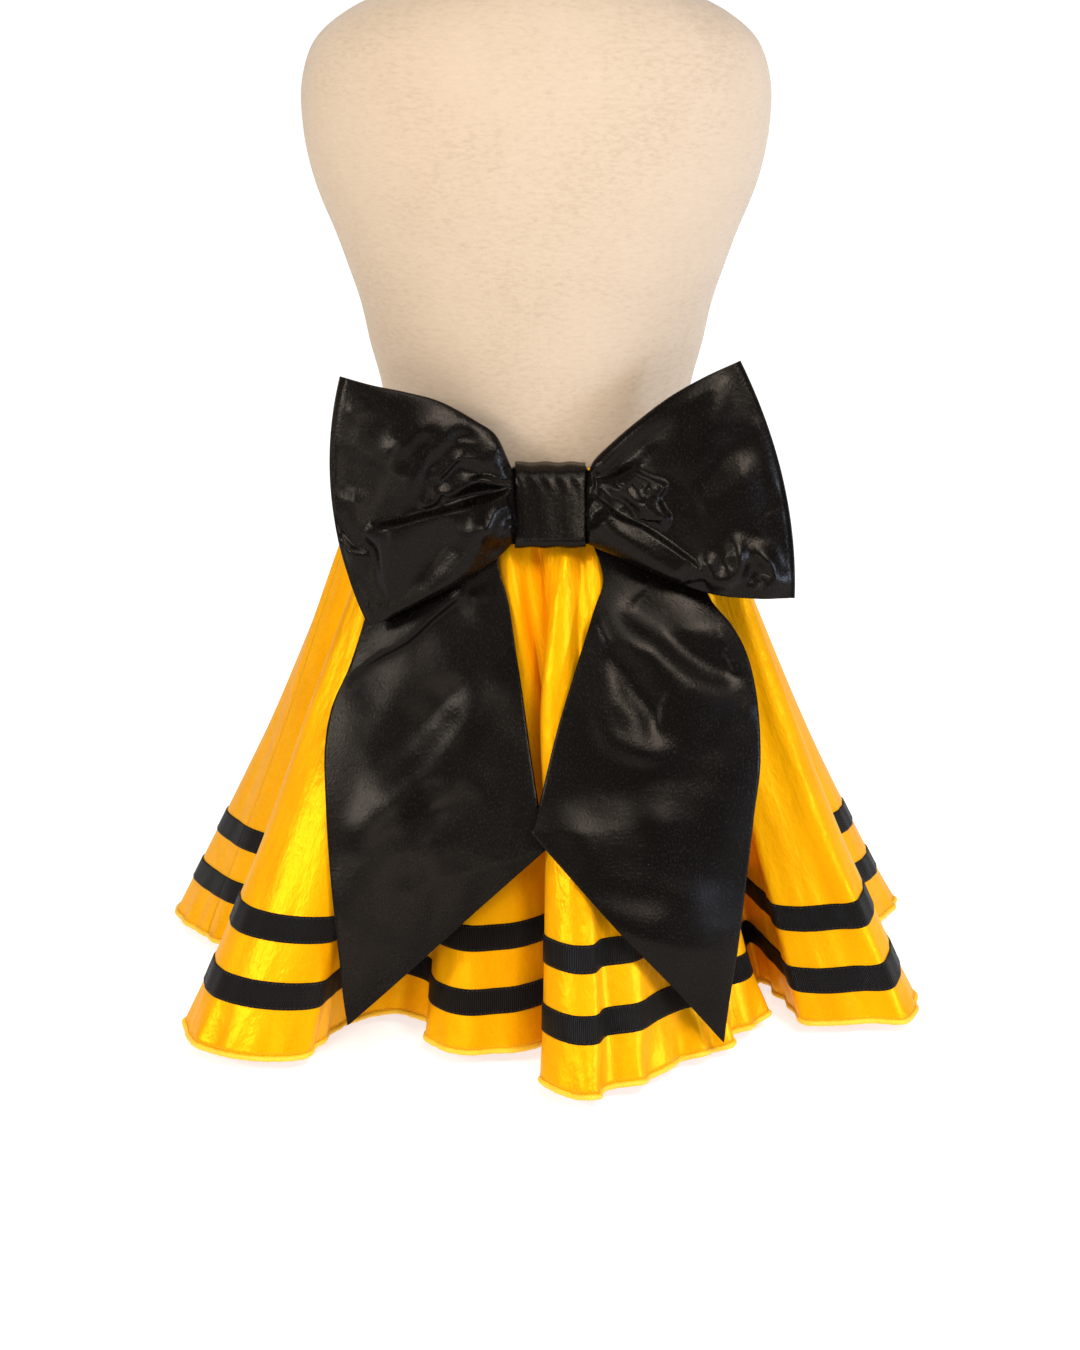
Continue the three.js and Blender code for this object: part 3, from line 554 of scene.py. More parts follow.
yellow_satin = satin(
    "yellow_satin",
    tones=((0.78, 0.30, 0.0006), (0.88, 0.405, 0.0012)),
    # speck: the colour of the painted sparkle specks
    speck=(0.89, 0.43, 0.0016),
    roughness=(0.31, 0.41),
    anisotropy=0.6,
    lustre=0.25,
    specular=0.20,
    gloss_tint=(1.0, 0.85, 0.16),
    broken=0.0045,
    frayed=0.00016,
)
black_satin = satin(
    "black_satin",
    tones=((0.0010, 0.0007, 0.0005), (0.0022, 0.0016, 0.0012)),
    # speck: the colour of the painted sparkle specks
    speck=(0.010, 0.0076, 0.0060),
    roughness=(0.20, 0.33),
    anisotropy=0.5,
    lustre=0.0,
    specular=0.137,
    gloss_tint=(1.0, 0.87, 0.76),
    broken=0.0008,
    frayed=0.00045,
)


def grosgrain():
    n = Nodes("black_grosgrain")
    rib = n.threads(0.0017, 0)
    grain = n.noise(1400, (1, 1), detail=2)
    cloud = n.noise(60, (1, 1), detail=3)
    # Darker in the grooves and lighter on the ribs: painted shade between the ribs.
    ribs_with_painted_groove_shade = n.tint(rib, (0.0006, 0.0005, 0.0004), (0.015, 0.012, 0.010))
    colour = n.tint(n.between(cloud, 0.0, 0.4), ribs_with_painted_groove_shade, (0.005, 0.0042, 0.0037))
    normal = n.bump(rib, 0.0007, 0.9)
    normal = n.bump(grain, 0.0001, 0.4, normal)
    n.fixed("Specular IOR Level", 0.09)
    return n.finish(colour, n.between(grain, 0.32, 0.48), normal)


black_grosgrain = grosgrain()


def thread(name, tones, pitch):
    """Sewing or overlock thread, twisted, wrapped round the rolled edge at that pitch."""
    n = Nodes(name)
    wraps = n.threads(pitch, 0)
    fuzz = n.noise(900, (1, 1), detail=3)
    normal = n.bump(n.math("ADD", wraps, n.math("MULTIPLY", fuzz, 0.4)), 0.0004, 0.6)
    n.fixed("Specular IOR Level", 0.5)
    n.fixed("Sheen Weight", 0.1)
    # Colour darker between the wraps and lighter on them: painted shade in the grooves.
    return n.finish(n.tint(wraps, *tones), n.between(fuzz, 0.35, 0.5), normal)


# The first tone of each thread is the painted shade between its wraps.
yellow_thread = thread("yellow_thread", ((0.88, 0.46, 0.003), (1.0, 0.60, 0.008)), 0.0013)
black_thread = thread("black_thread", ((0.006, 0.005, 0.004), (0.020, 0.017, 0.014)), 0.0008)


def jersey():
    n = Nodes("form_jersey")
    loops = n.threads(0.0011, 0)
    courses = n.threads(0.0009, 1)
    slub = n.noise(150, detail=5, rough=0.65, vector=n.place((1, 1, 2.6)))
    cloud = n.noise(9, (1, 1), detail=5, vector=n.place())
    knit = n.math("MULTIPLY", loops, courses)
    tone = n.math("ADD", n.math("MULTIPLY", slub, 0.6), n.math("MULTIPLY", cloud, 0.4))
    stops = [(0.25, (0.40, 0.295, 0.20)), (0.5, (0.50, 0.385, 0.275)), (0.8, (0.56, 0.44, 0.32))]
    colour = n.ramp(tone, stops)
    normal = n.bump(slub, 0.0005, 0.55)
    normal = n.bump(knit, 0.0002, 0.5, normal)
    n.fixed("Specular IOR Level", 0.2)
    n.fixed("Sheen Weight", 0.25)
    n.fixed("Sheen Roughness", 0.5)
    return n.finish(colour, n.between(slub, 0.82, 0.95), normal)


def paint():
    n = Nodes("stand_paint")
    cloud = n.noise(14, (1, 1), detail=4)
    speck = n.noise(500, (1, 1), detail=2)
    colour = n.tint(cloud, (0.60, 0.55, 0.47), (0.70, 0.65, 0.57))
    n.fixed("Specular IOR Level", 0.5)
    return n.finish(colour, n.between(speck, 0.32, 0.46), n.bump(speck, 0.0002, 0.3))


form_jersey = jersey()
stand_paint = paint()


# ---- skirt ---------------------------------------------------------------------------------------
PANEL_GAP = 0.02
WAIST_PER_DEGREE = 1.9


def along_panel(first, columns, share):
    """Hangs of one panel's columns for each row, set in from the side seams by half the gap."""
    inset = PANEL_GAP / 2 / mix(WAIST_PER_DEGREE, HEM_LENGTH / 360, share)
    j = np.linspace(0, 1, columns)[None, :]
    return first + 180 * j + inset[:, None] * (1 - 2 * j)


def cloth_shell(name, first, share, outs, thickness, material):
    """Strip of cloth on the skirt's face, each row moved out by one of `outs`."""
    hang = along_panel(first, PANEL_COLUMNS, share)
    rows = np.repeat(share[:, None], PANEL_COLUMNS, 1)
    out = np.repeat(np.asarray(outs, float)[:, None], PANEL_COLUMNS, 1)
    outer = skirt_cloth(hang, rows, out)
    normal = grid_normals(outer)
    facing = np.sign(np.sum(normal * skirt_normal(hang, rows)))
    inner = outer - facing * normal * thickness
    return shell(name, outer, inner, skirt_uv(hang, rows), material, crisp=True)


skirt_pieces, ribbon_pieces = {}, {}
for panel, first in PANELS:
    share = np.linspace(0, 1 - BEAD_SHARE / 2, PANEL_ROWS)
    flush = np.zeros(PANEL_ROWS)
    piece = cloth_shell(f"skirt_{panel}", first, share, flush, SATIN, yellow_satin)
    skirt_pieces[panel] = carried(piece, f"skirt_{panel}_panel")

RIBBON_ACROSS = np.array([-1, -0.94, -0.7, -0.3, 0.3, 0.7, 0.94, 1])
RIBBON_OUT = np.array([0.55, 0.85, 0.95, 0.98, 0.98, 0.95, 0.85, 0.55])
for row, bottom in RIBBONS:
    share = from_hem(bottom + RIBBON_WIDTH / 2) + RIBBON_ACROSS * RIBBON_WIDTH / 2 / SLANT
    for panel, first in PANELS:
        name = f"ribbon_{row}_{panel}"
        piece = cloth_shell(
            f"{name}_cloth", first, share, RIBBON_OUT, RIBBON_WALL, black_grosgrain
        )
        ribbon_pieces[row, panel] = carried(piece, name)


def stitches(name, look, place, material):
    """A row of stitches: each a small lozenge of thread lying on the cloth."""
    centres, along, up = place
    length, width, height = look["length"], look["width"], look["height"]
    count = len(centres)
    side = np.cross(along, up)
    half = np.stack(
        [
            centres - along * length / 2,
            centres + along * length / 2,
            centres + side * width / 2,
            centres - side * width / 2,
            centres + up * height,
            centres - up * height * 0.6,
        ],
        1,
    )
    corners = [(0, 2, 4), (2, 1, 4), (1, 3, 4), (3, 0, 4)]
    corners += [(2, 0, 5), (1, 2, 5), (3, 1, 5), (0, 3, 5)]
    faces = (np.arange(count)[:, None, None] * 6 + np.array(corners)[None]).reshape(-1, 3)
    uv = np.repeat(np.arange(count)[:, None] * 0.004, 6, 1)
    uv = np.stack([uv + np.array([0, 1, 0.5, 0.5, 0.5, 0.5]) * 0.002, uv * 0], -1)
    return mesh_piece(name, half.reshape(-1, 3), faces, uv.reshape(-1, 2), material)


def skirt_frame(hang, share, out):
    """Points on the cloth with the direction round the skirt and the outward normal."""
    centre = skirt_cloth(hang, share, out)
    along = unit(skirt_cloth(hang + 0.05, share, out) - skirt_cloth(hang - 0.05, share, out))
    normal = skirt_normal(hang, dipped(hang, share))
    normal = unit(normal - along * np.sum(normal * along, -1, keepdims=True))
    return centre, along, normal


def once_round(count):
    """Even hangs once round the skirt, from its left seam."""
    return -90 + 360 * (np.arange(count) + 0.5) / count


BEAD_SEGMENTS, BEAD_SIDES = 1500, 10
BEAD_UNEVEN, BEAD_LUMPS = 0.06, 311


def hem_bead():
    hang = -90 + 360 * np.arange(BEAD_SEGMENTS) / BEAD_SEGMENTS
    share = np.full_like(hang, 1 - BEAD_SHARE / 2)
    centre, along, normal = skirt_frame(hang, share, -SATIN / 2)
    down = np.cross(along, normal)
    turn = turns(BEAD_SIDES)
    radius = BEAD_RADIUS * (1 + BEAD_UNEVEN * np.cos(np.radians(hang) * BEAD_LUMPS))
    ring = (
        normal[:, None] * np.cos(turn)[None, :, None] + down[:, None] * np.sin(turn)[None, :, None]
    ) * radius[:, None, None]
    points = (centre[:, None] + ring).reshape(-1, 3)
    i, j = np.meshgrid(np.arange(BEAD_SEGMENTS), np.arange(BEAD_SIDES), indexing="ij")
    here, there = i * BEAD_SIDES, (i + 1) % BEAD_SEGMENTS * BEAD_SIDES
    following = (j + 1) % BEAD_SIDES
    faces = np.stack([here + j, here + following, there + following, there + j], -1)
    distance = run_length(centre) * MM
    around = np.repeat(turn[None] * 0.002, BEAD_SEGMENTS, 0)
    uv = np.stack([np.repeat(distance[:, None], BEAD_SIDES, 1), around], -1)
    return mesh_piece("hem_bead", points, faces.reshape(-1, 4), uv.reshape(-1, 2), yellow_thread)


hem_roll = carried(hem_bead())

# Overlock zigzag just above the bead.
ZIGZAG = {"count": 1180, "length": 3.0, "width": 0.55, "height": 0.3, "lean": 0.75, "above": 7.2}
hang = once_round(ZIGZAG["count"])
centre, along, normal = skirt_frame(hang, np.full_like(hang, from_hem(ZIGZAG["above"])), 0.1)
sway = np.where(np.arange(len(hang)) % 2 == 0, 1.0, -1.0)[:, None] * ZIGZAG["lean"]
lean = unit(along + np.cross(along, normal) * sway)
hem_stitches = stitches("hem_stitches", ZIGZAG, (centre, lean, normal), yellow_thread)
carried(hem_stitches)

RIBBON_STITCH = {"count": 860, "length": 2.4, "width": 0.5, "height": 0.28, "inset": 1.6}
hang = once_round(RIBBON_STITCH["count"])
rows = [
    skirt_frame(hang, np.full_like(hang, from_hem(edge)), RIBBON_OUT.max())
    for _, bottom in RIBBONS
    for edge in (bottom + RIBBON_STITCH["inset"], bottom + RIBBON_WIDTH - RIBBON_STITCH["inset"])
]
place = [np.concatenate(part) for part in zip(*rows)]
ribbon_stitches = stitches("ribbon_stitches", RIBBON_STITCH, place, black_thread)
carried(ribbon_stitches)


# ---- dress form ----------------------------------------------------------------------------------
# Sections: height above the waist, half width, half depth to the back and to the front.
TORSO = np.array(
    [
        (-122, 118, 88, 92), (-118, 128, 97, 101), (-106, 133, 101, 105), (-70, 130, 100, 104),
        (-42, 124.5, 96.5, 98.5), (-23, 121.4, 93.4, 94), (0, 120, 92, 92), (9, 120.2, 92.1, 92.4),
        (32, 121.8, 92.8, 95), (62, 125.5, 94.5, 101), (95, 134, 98, 110), (128, 141, 102, 121),
        (160, 151.5, 106, 131), (184, 160, 108, 135), (207, 169.5, 110, 132),
        (229, 177, 110.5, 125), (262, 183.5, 109, 113), (300, 184, 103, 99), (332, 173, 93, 87),
        (355, 146, 82, 76), (372, 108, 70, 65), (386, 76, 60, 56), (400, 60, 54, 51),
        (440, 55, 51, 49),
    ],
    float,
)
TORSO_ROWS, TORSO_SIDES = 150, 168
dense_torso = catmull_rom(TORSO, np.linspace(0, 1, 600))


def form_ring(above, sides, out=0.0):
    """Points round the form at heights above the waist: rows by sides, from the back centre."""
    above = np.atleast_1d(np.asarray(above, float))
    half, back, front = (np.interp(above, dense_torso[:, 0], dense_torso[:, k]) for k in (1, 2, 3))
    angle = turns(sides)
    out = np.broadcast_to(np.asarray(out, float), (len(above), sides))
    facing_back = smooth(np.cos(angle) * 1.5 + 0.5)
    depth = mix(front[:, None], back[:, None], facing_back[None, :]) + out
    x = AXIS_X + (half[:, None] + out) * np.sin(angle)
    y = -depth * np.cos(angle)
    z = np.broadcast_to((WAIST_Z + above)[:, None], x.shape)
    return np.stack([x, y, z], -1)


RING_U = 0.99  # length given to every ring, in metres: a whole number of knit loops


def ring_uv(rings):
    """Distance round each ring and up the form, in metres."""
    sides = rings.shape[1]
    return np.stack(
        np.meshgrid(np.arange(sides) / sides * RING_U, run_length(rings[:, 0]) * MM), -1
    )


def closed_loft(name, rings, material):
    """Closed form through rings of points, with a point at each end."""
    rows, sides = rings.shape[:2]
    uv = ring_uv(rings)
    points = np.concatenate([rings.reshape(-1, 3), rings[0].mean(0)[None], rings[-1].mean(0)[None]])
    faces = grid_faces(rows, sides, True).tolist()
    first, last = rows * sides, rows * sides + 1
    for k in range(sides):
        following = (k + 1) % sides
        faces.append([first, following, k])
        faces.append([last, (rows - 1) * sides + k, (rows - 1) * sides + following])
    uv = np.concatenate([uv.reshape(-1, 2), [uv[0].mean(0), uv[-1].mean(0)]])
    return mesh_piece(name, points, faces, uv, material, RING_U)


torso_rings = form_ring(catmull_rom(TORSO, np.linspace(0, 1, TORSO_ROWS))[:, 0], TORSO_SIDES)
torso = closed_loft("form_torso_jersey", torso_rings, form_jersey)
carried(torso, "form_torso")


def turned(name, node, sides, profile):
    """Turned piece of the stand from a profile of radius and height."""
    profile = np.array(profile, float)
    angle = turns(sides)
    rings = np.stack(
        [
            AXIS_X + profile[:, :1] * np.sin(angle),
            -profile[:, :1] * np.cos(angle),
            np.repeat(profile[:, 1:], sides, 1),
        ],
        -1,
    )
    carried(closed_loft(name, rings, stand_paint), node)


def rounded_disc(radius, low, high, edge, steps=7):
    """Profile of a disc with rounded edges."""
    turn = np.linspace(0, math.pi / 2, steps)
    below = [(radius - edge + edge * math.sin(t), low + edge - edge * math.cos(t)) for t in turn]
    above = [(radius - edge + edge * math.cos(t), high - edge + edge * math.sin(t)) for t in turn]
    inner = radius * 0.55
    return [(inner, low), *below, *above, (inner, high)]


CAP_LOW = WAIST_Z + TORSO[-1, 0] + SEAM_GAP
POST_LOW, POST_HIGH = 20 + SEAM_GAP, WAIST_Z + TORSO[0, 0] - SEAM_GAP
turned("neck_cap", "form_neck_cap", 96, rounded_disc(53, CAP_LOW, CAP_LOW + 12, 4))
turned("stand_post", "form_post", 48, rounded_disc(15, POST_LOW, POST_HIGH, 1.5))
turned("stand_base", "form_base", 128, rounded_disc(120, 0, 20, 5))

# ---- waistband -----------------------------------------------------------------------------------
BAND_SIDES, BAND_ROWS = 320, 17
BAND_EDGE = 0.5  # thickness at its upper and lower edge
BAND_DRAWN = 0.22  # height of the ripples drawn in by the elastic
band_v = np.linspace(-1, 1, BAND_ROWS)
band_v = np.sign(band_v) * np.abs(band_v) ** 0.7
band_above = mix(BAND_LOW, BAND_HIGH, (band_v + 1) / 2)
band_thick = BAND_EDGE + (BAND_WALL - BAND_EDGE) * np.sqrt(np.maximum(1 - np.abs(band_v) ** 6, 0))
drawn = BAND_DRAWN * np.cos(gather_phase(turns(BAND_SIDES)))
pull = np.clip(-band_v, 0, 1)[:, None] * drawn[None, :]
band_outer = form_ring(band_above, BAND_SIDES, SEAM_GAP + band_thick[:, None] + pull)
band_inner = form_ring(band_above, BAND_SIDES, SEAM_GAP)
waistband = shell(
    "waistband_satin", band_outer, band_inner, ring_uv(band_outer), yellow_satin, True, RING_U
)
carried(waistband, "waistband")

# ---- bow -----------------------------------------------------------------------------------------
# Depths are distances towards -Y from the axis, and seen from the back x runs right and z up.
KNOT = {
    "x": 8.0, "z": 424.5, "width": 55.0, "height": 60.0, "depth": 27.0, "wall": 1.8,
    "top": 91.5, "bottom": 116.6, "corner": 9.0,
}


def knot_back(z):
    return mix(KNOT["bottom"], KNOT["top"], (z - KNOT["z"]) / KNOT["height"] + 0.5)


class Stroke:
    """A crease on the bow, along a run of x, z points."""

    def __init__(self, run, height, width, rise, fall, edge=None, side=1, hollow=0.0, reach=1.0):
        run = np.reshape(run, (-1, 2)).astype(float)
        self.run = catmull_rom(run, np.linspace(0, 1, 5 * len(run)))
        self.height, self.width, self.rise, self.fall = height, width, rise, fall
        self.edge, self.side, self.hollow, self.reach = edge, side, hollow, reach

    def lift(self, x, z):
        a, b = self.run[:-1], self.run[1:]
        span = b - a
        length = np.linalg.norm(span, axis=1)
        start = run_length(self.run)[:-1]
        px, pz = x[..., None] - a[:, 0], z[..., None] - a[:, 1]
        t = np.clip((px * span[:, 0] + pz * span[:, 1]) / np.maximum(length**2, 1e-9), 0, 1)
        distance = np.hypot(px - t * span[:, 0], pz - t * span[:, 1])
        nearest = np.argmin(distance, -1)[..., None]

        def pick(values):
            return np.take_along_axis(values, nearest, -1)[..., 0]

        away = pick(distance)
        along = pick((start + t * length) / max(length.sum(), 1e-9))
        fade = smooth(along / self.rise) * smooth((1 - along) / self.fall)
        if self.edge is None:
            return self.height * fade * bump(away, self.width)
        signed = away * self.side * np.sign(pick(span[:, 0] * pz - span[:, 1] * px))
        own = 0.5 + 0.5 * np.tanh(signed / self.edge)
        crest = bump(np.maximum(signed, 0), self.width)
        pit = self.hollow * bump(np.maximum(-signed, 0), self.reach)
        return self.height * fade * (own * crest - (1 - own) * pit)


def ridge(height, width, rise, fall, *run):
    """Crease that falls off evenly on both sides over `width`.

    It grows over the share `rise` of its run and fades over the share `fall`.
    """
    return Stroke(run, height, width, rise, fall)


def fold(height, width, edge, side, hollow, reach, rise, fall, *run):
    """Crease that falls off over `width` on one side, +1 the left and -1 the right of its run.

    On the other it steps down over `edge` into a hollow, `hollow` times its height, which runs out
    over `reach`.
    """
    return Stroke(run, height, width, rise, fall, edge, side, hollow, reach)


def lifted(strokes, x, z):
    return sum(stroke.lift(x, z) for stroke in strokes)


def cloth_noise(x, z, seed, scale, count=7):
    """Slow uneven swell of flat cloth: seeded plane waves about `scale` millimetres long."""
    pick = np.random.default_rng(seed)
    total = np.zeros_like(x)
    for _ in range(count):
        heading, phase = pick.uniform(0, 2 * math.pi, 2)
        k = 2 * math.pi / (scale * pick.uniform(0.7, 1.6))
        total += np.sin(k * (x * math.cos(heading) + z * math.sin(heading)) + phase)
    return total / math.sqrt(count)


def knot_relief(x, z, forward):
    """Soft upright creases of the band, and drawn-in ripples by its folded top edge."""
    upright = 0.5 * np.sin(x * 0.34 + 0.9 * np.sin(z * 0.06)) + 0.5 * np.sin(x * 0.19 + 2.0)
    upright += 0.10 * np.sin(x * 0.95 + 1.0 + 0.8 * np.sin(z * 0.09))
    top = bump(z - (KNOT["z"] + KNOT["height"] / 2 - 7), 9) * np.sin(x * 0.55 + z * 0.25)
    return (0.2 * upright + 0.32 * top) * smooth(forward * 1.4)


KNOT_STATIONS, KNOT_SIDES = 56, 128


def knot_grid(inset):
    corner = KNOT["corner"] - inset
    along = np.linspace(-0.5, 0.5, KNOT_STATIONS)
    # Points spread evenly round the rounded rectangle.
    flat_depth = KNOT["depth"] / 2 - inset - corner
    flat_height = KNOT["height"] / 2 - inset - corner
    ring_length = 4 * (flat_depth + flat_height) + 2 * math.pi * corner
    s = np.arange(KNOT_SIDES) / KNOT_SIDES * ring_length
    depth, up, forward = np.zeros(KNOT_SIDES), np.zeros(KNOT_SIDES), np.zeros(KNOT_SIDES)
    runs = [
        (2 * flat_height, 0, (1, 0), (0, 1)), (2 * flat_depth, 90, (0, 1), (-1, 0)),
        (2 * flat_height, 180, (-1, 0), (0, -1)), (2 * flat_depth, 270, (0, -1), (1, 0)),
    ]
    position = 0.0
    for length, degrees, outward, heading in runs:
        on = (s >= position) & (s < position + length)
        travelled = s[on] - position - length / 2
        depth[on] = outward[0] * (flat_depth + corner) + heading[0] * travelled
        up[on] = outward[1] * (flat_height + corner) + heading[1] * travelled
        forward[on] = outward[0]
        position += length
        arc = corner * math.pi / 2
        on = (s >= position) & (s < position + arc)
        angle = math.radians(degrees) + (s[on] - position) / corner
        centre = (
            flat_depth * np.sign(outward[0] + heading[0]),
            flat_height * np.sign(outward[1] + heading[1]),
        )
        depth[on] = centre[0] + corner * np.cos(angle)
        up[on] = centre[1] + corner * np.sin(angle)
        forward[on] = np.cos(angle)
        position += arc
    x = KNOT["x"] + along[:, None] * KNOT["width"] + np.zeros(KNOT_SIDES)
    barrel = 1.5 * (1 - (2 * np.abs(along)) ** 2.2)[:, None]
    rolled = -0.9 * (np.abs(2 * along) ** 18)[:, None]
    ripple = 0.45 * np.sin(x * 0.31 + 0.4) * np.clip(up / 30, -1, 1) ** 9
    z = KNOT["z"] + up + ripple * (inset == 0)
    facing = np.broadcast_to(np.clip(forward, 0, 1), x.shape)
    lift = (barrel + rolled) * facing + knot_relief(x, z, facing)
    out = knot_back(z) + KNOT["depth"] / 2 + depth + lift * (1.0 if inset == 0 else 0.6)
    uv = np.stack([x * MM, np.broadcast_to(s * MM, x.shape)], -1)
    return np.stack([x, -out, z], -1), uv


knot_outer, knot_uv = knot_grid(0.0)
knot_inner, _ = knot_grid(KNOT["wall"])
bow_knot = shell("bow_knot_band", knot_outer, knot_inner, knot_uv, black_satin, wrap=True)
carried(bow_knot, "bow_knot")

ROOT_HALF_HEIGHT = KNOT["height"] / 2 - 2.5 - SEAM_GAP
TAIL_WALL = 1.6
TAIL_ROOT_INSET = 7.0
TAIL_ROOT_BACK = 2.5 + SEAM_GAP
ROOT_THICKNESS = 2.2  # taken by a tail behind the knot
WING_ROOT_BACK = TAIL_ROOT_BACK + ROOT_THICKNESS + 2 * SEAM_GAP
WING_ROOT_HALF = (KNOT["depth"] - 2.5 - SEAM_GAP - WING_ROOT_BACK) / 2


def root_stations(side, beyond, count):
    """Even x from the middle of the knot to a little beyond its end."""
    return np.linspace(
        KNOT["x"] + side * SEAM_GAP / 2, KNOT["x"] + side * (KNOT["width"] / 2 + beyond), count
    )


LEFT_WING_CREASES = [
    # lower flap drawn over the upper part, with its curled end
    fold(8, 46, 1.3, 1, 0.25, 16, 0.06, 0.2, -21, 440, -42, 434, -65, 428, -88, 423, -111, 417,
        -129, 415, -137, 413),
    fold(4, 24, 2.6, 1, 0.4, 12, 0.2, 0.5, -137, 413, -137, 409, -132, 402, -126, 395, -125, 383,
        -124, 373, -118, 358, -111, 348),
    ridge(10, 14, 0.2, 0.3, -21, 420, -37, 414, -46, 404, -55, 389, -70, 370, -88, 352, -109, 339),
    ridge(4.2, 8, 0.3, 0.4, -28, 436, -36, 427, -42, 414, -46, 402),
    ridge(5, 8, 0.2, 0.4, -129, 341, -119, 346, -102, 352, -82, 366, -69, 383),
    ridge(-4, 15, 0.35, 0.45, -62, 417, -75, 400, -88, 380, -102, 366),
    ridge(-3.6, 12, 0.35, 0.45, -29, 407, -38, 390, -54, 371),
    ridge(2.6, 4.5, 0.3, 0.3, -22, 420, -24, 410, -22, 400),
    # crumpled bowl behind it
    fold(3, 24, 5, 1, 0.9, 16, 0.35, 0.35, -109, 425, -96, 440, -87, 460, -74, 474, -61, 483,
        -52, 482, -44, 475, -37, 469),
    fold(1.9, 8, 2.2, 1, 0.9, 8, 0.3, 0.4, -80, 438, -75, 450, -68, 458, -60, 466, -53, 474),
    fold(2.8, 8, 1.4, 1, 1.4, 10, 0.06, 0.3, -20, 444, -31, 446, -42, 450, -52, 449, -58, 446),
    fold(1.7, 7, 1.8, 1, 0.8, 6, 0.35, 0.35, -96, 434, -90, 427, -80, 430, -75, 437, -72, 434,
        -70, 429),
    ridge(-3.5, 5.5, 0.1, 0.3, -21, 441, -42, 437, -62, 433, -75, 430),
    ridge(-3.4, 5, 0.1, 0.5, -20, 450, -27, 460, -35, 471),
    ridge(2.2, 6, 0.1, 0.5, -22, 456, -29, 469, -37, 483),
    # swells of the flat outer part
    ridge(4.2, 10, 0.35, 0.4, -118, 460, -107, 477, -94, 488, -81, 497, -71, 500),
    ridge(-2.2, 8, 0.3, 0.4, -112, 452, -97, 466, -84, 479, -71, 487),
    ridge(1.7, 8, 0.2, 0.3, -152, 494, -140, 500, -130, 502, -119, 510, -106, 515),
    ridge(-2.4, 15, 0.3, 0.3, -141, 472, -144, 454, -148, 430),
    fold(5, 11, 2.6, -1, 0.6, 8, 0.08, 0.4, -161, 418, -155, 407, -147, 397, -134, 393, -127, 391),
    ridge(1.8, 6, 0.1, 0.4, -157, 402, -151, 390, -138, 386),
    ridge(4, 7, 0.2, 0.3, -153, 371, -145, 356, -135, 345, -124, 347),
]
RIGHT_WING_CREASES = [
    # lower flap with its rolled end
    fold(4.2, 28, 1.3, -1, 0.3, 14, 0.06, 0.14, 38, 437, 48, 431, 62, 421, 79, 414, 95, 404,
        108, 395, 120, 386, 125, 381, 128, 376),
    fold(3, 11, 2.2, -1, 0.6, 10, 0.15, 0.5, 128, 376, 122, 373, 115, 371, 109, 370, 108, 375),
    ridge(8, 13, 0.12, 0.15, 42, 424, 55, 410, 72, 398, 87, 386, 101, 375, 111, 369),
    ridge(2.2, 9, 0.15, 0.4, 40, 417, 48, 400, 64, 386, 86, 374, 107, 366),
    # fold along the upper edge and the hollow under it
    ridge(3.6, 8, 0.05, 0.3, 38, 451, 54, 467, 70, 482, 91, 497, 108, 507, 127, 518, 142, 527),
    ridge(-5.5, 8.5, 0.06, 0.4, 39, 446, 52, 449, 67, 463, 80, 475, 93, 484, 109, 490),
    # crumpled cluster over the flat part on its right
    fold(3.6, 16, 1.9, -1, 0.5, 14, 0.08, 0.15, 38, 445, 51, 447, 59, 451, 70, 456, 80, 452,
        88, 449, 96, 445, 95, 441, 92, 436, 95, 427, 100, 421, 98, 414, 93, 408),
    fold(1.3, 6, 1.6, 1, 1, 5, 0.3, 0.3, 56, 449, 61, 445, 67, 444, 71, 449, 74, 452),
    fold(1.4, 6, 1.7, -1, 1, 5, 0.3, 0.4, 79, 438, 83, 445, 88, 444, 92, 439),
    ridge(2.6, 8, 0.2, 0.2, 52, 444, 64, 437, 77, 430, 88, 422, 95, 415),
    ridge(-2.6, 4.5, 0.1, 0.3, 40, 443, 54, 437, 67, 430, 80, 421),
    ridge(-2, 5, 0.35, 0.35, 78, 446, 75, 439, 82, 432),
    # swells of the flat outer part, looped near the outer lower corner
    ridge(1.8, 9, 0.15, 0.4, 132, 524, 136, 511, 132, 495, 126, 475),
    ridge(-3, 13, 0.2, 0.3, 100, 429, 116, 439, 135, 456, 151, 474, 164, 490),
    ridge(1, 14, 0.2, 0.3, 116, 428, 135, 438, 155, 451, 174, 459),
    ridge(1.8, 5, 0.2, 0.2, 167, 498, 172, 479, 177, 456, 184, 435),
    fold(0.7, 9, 3.4, 1, 0.6, 8, 0.08, 0.4, 189, 425, 175, 422, 165, 412, 173, 400),
    ridge(6, 7.5, 0.35, 0.35, 120, 392, 129, 385, 132, 377, 124, 368),
    ridge(8, 7.5, 0.35, 0.35, 139, 404, 151, 399, 153, 390, 151, 380, 143, 373, 124, 367),
    ridge(8.5, 7.5, 0.35, 0.35, 156, 397, 167, 395, 176, 387, 180, 377, 173, 368, 162, 361,
        156, 358),
    ridge(7, 7.5, 0.35, 0.35, 160, 359, 175, 358, 185, 365, 191, 375, 194, 385),
    ridge(-2.4, 6, 0.35, 0.35, 161, 389, 165, 378, 160, 368),
]
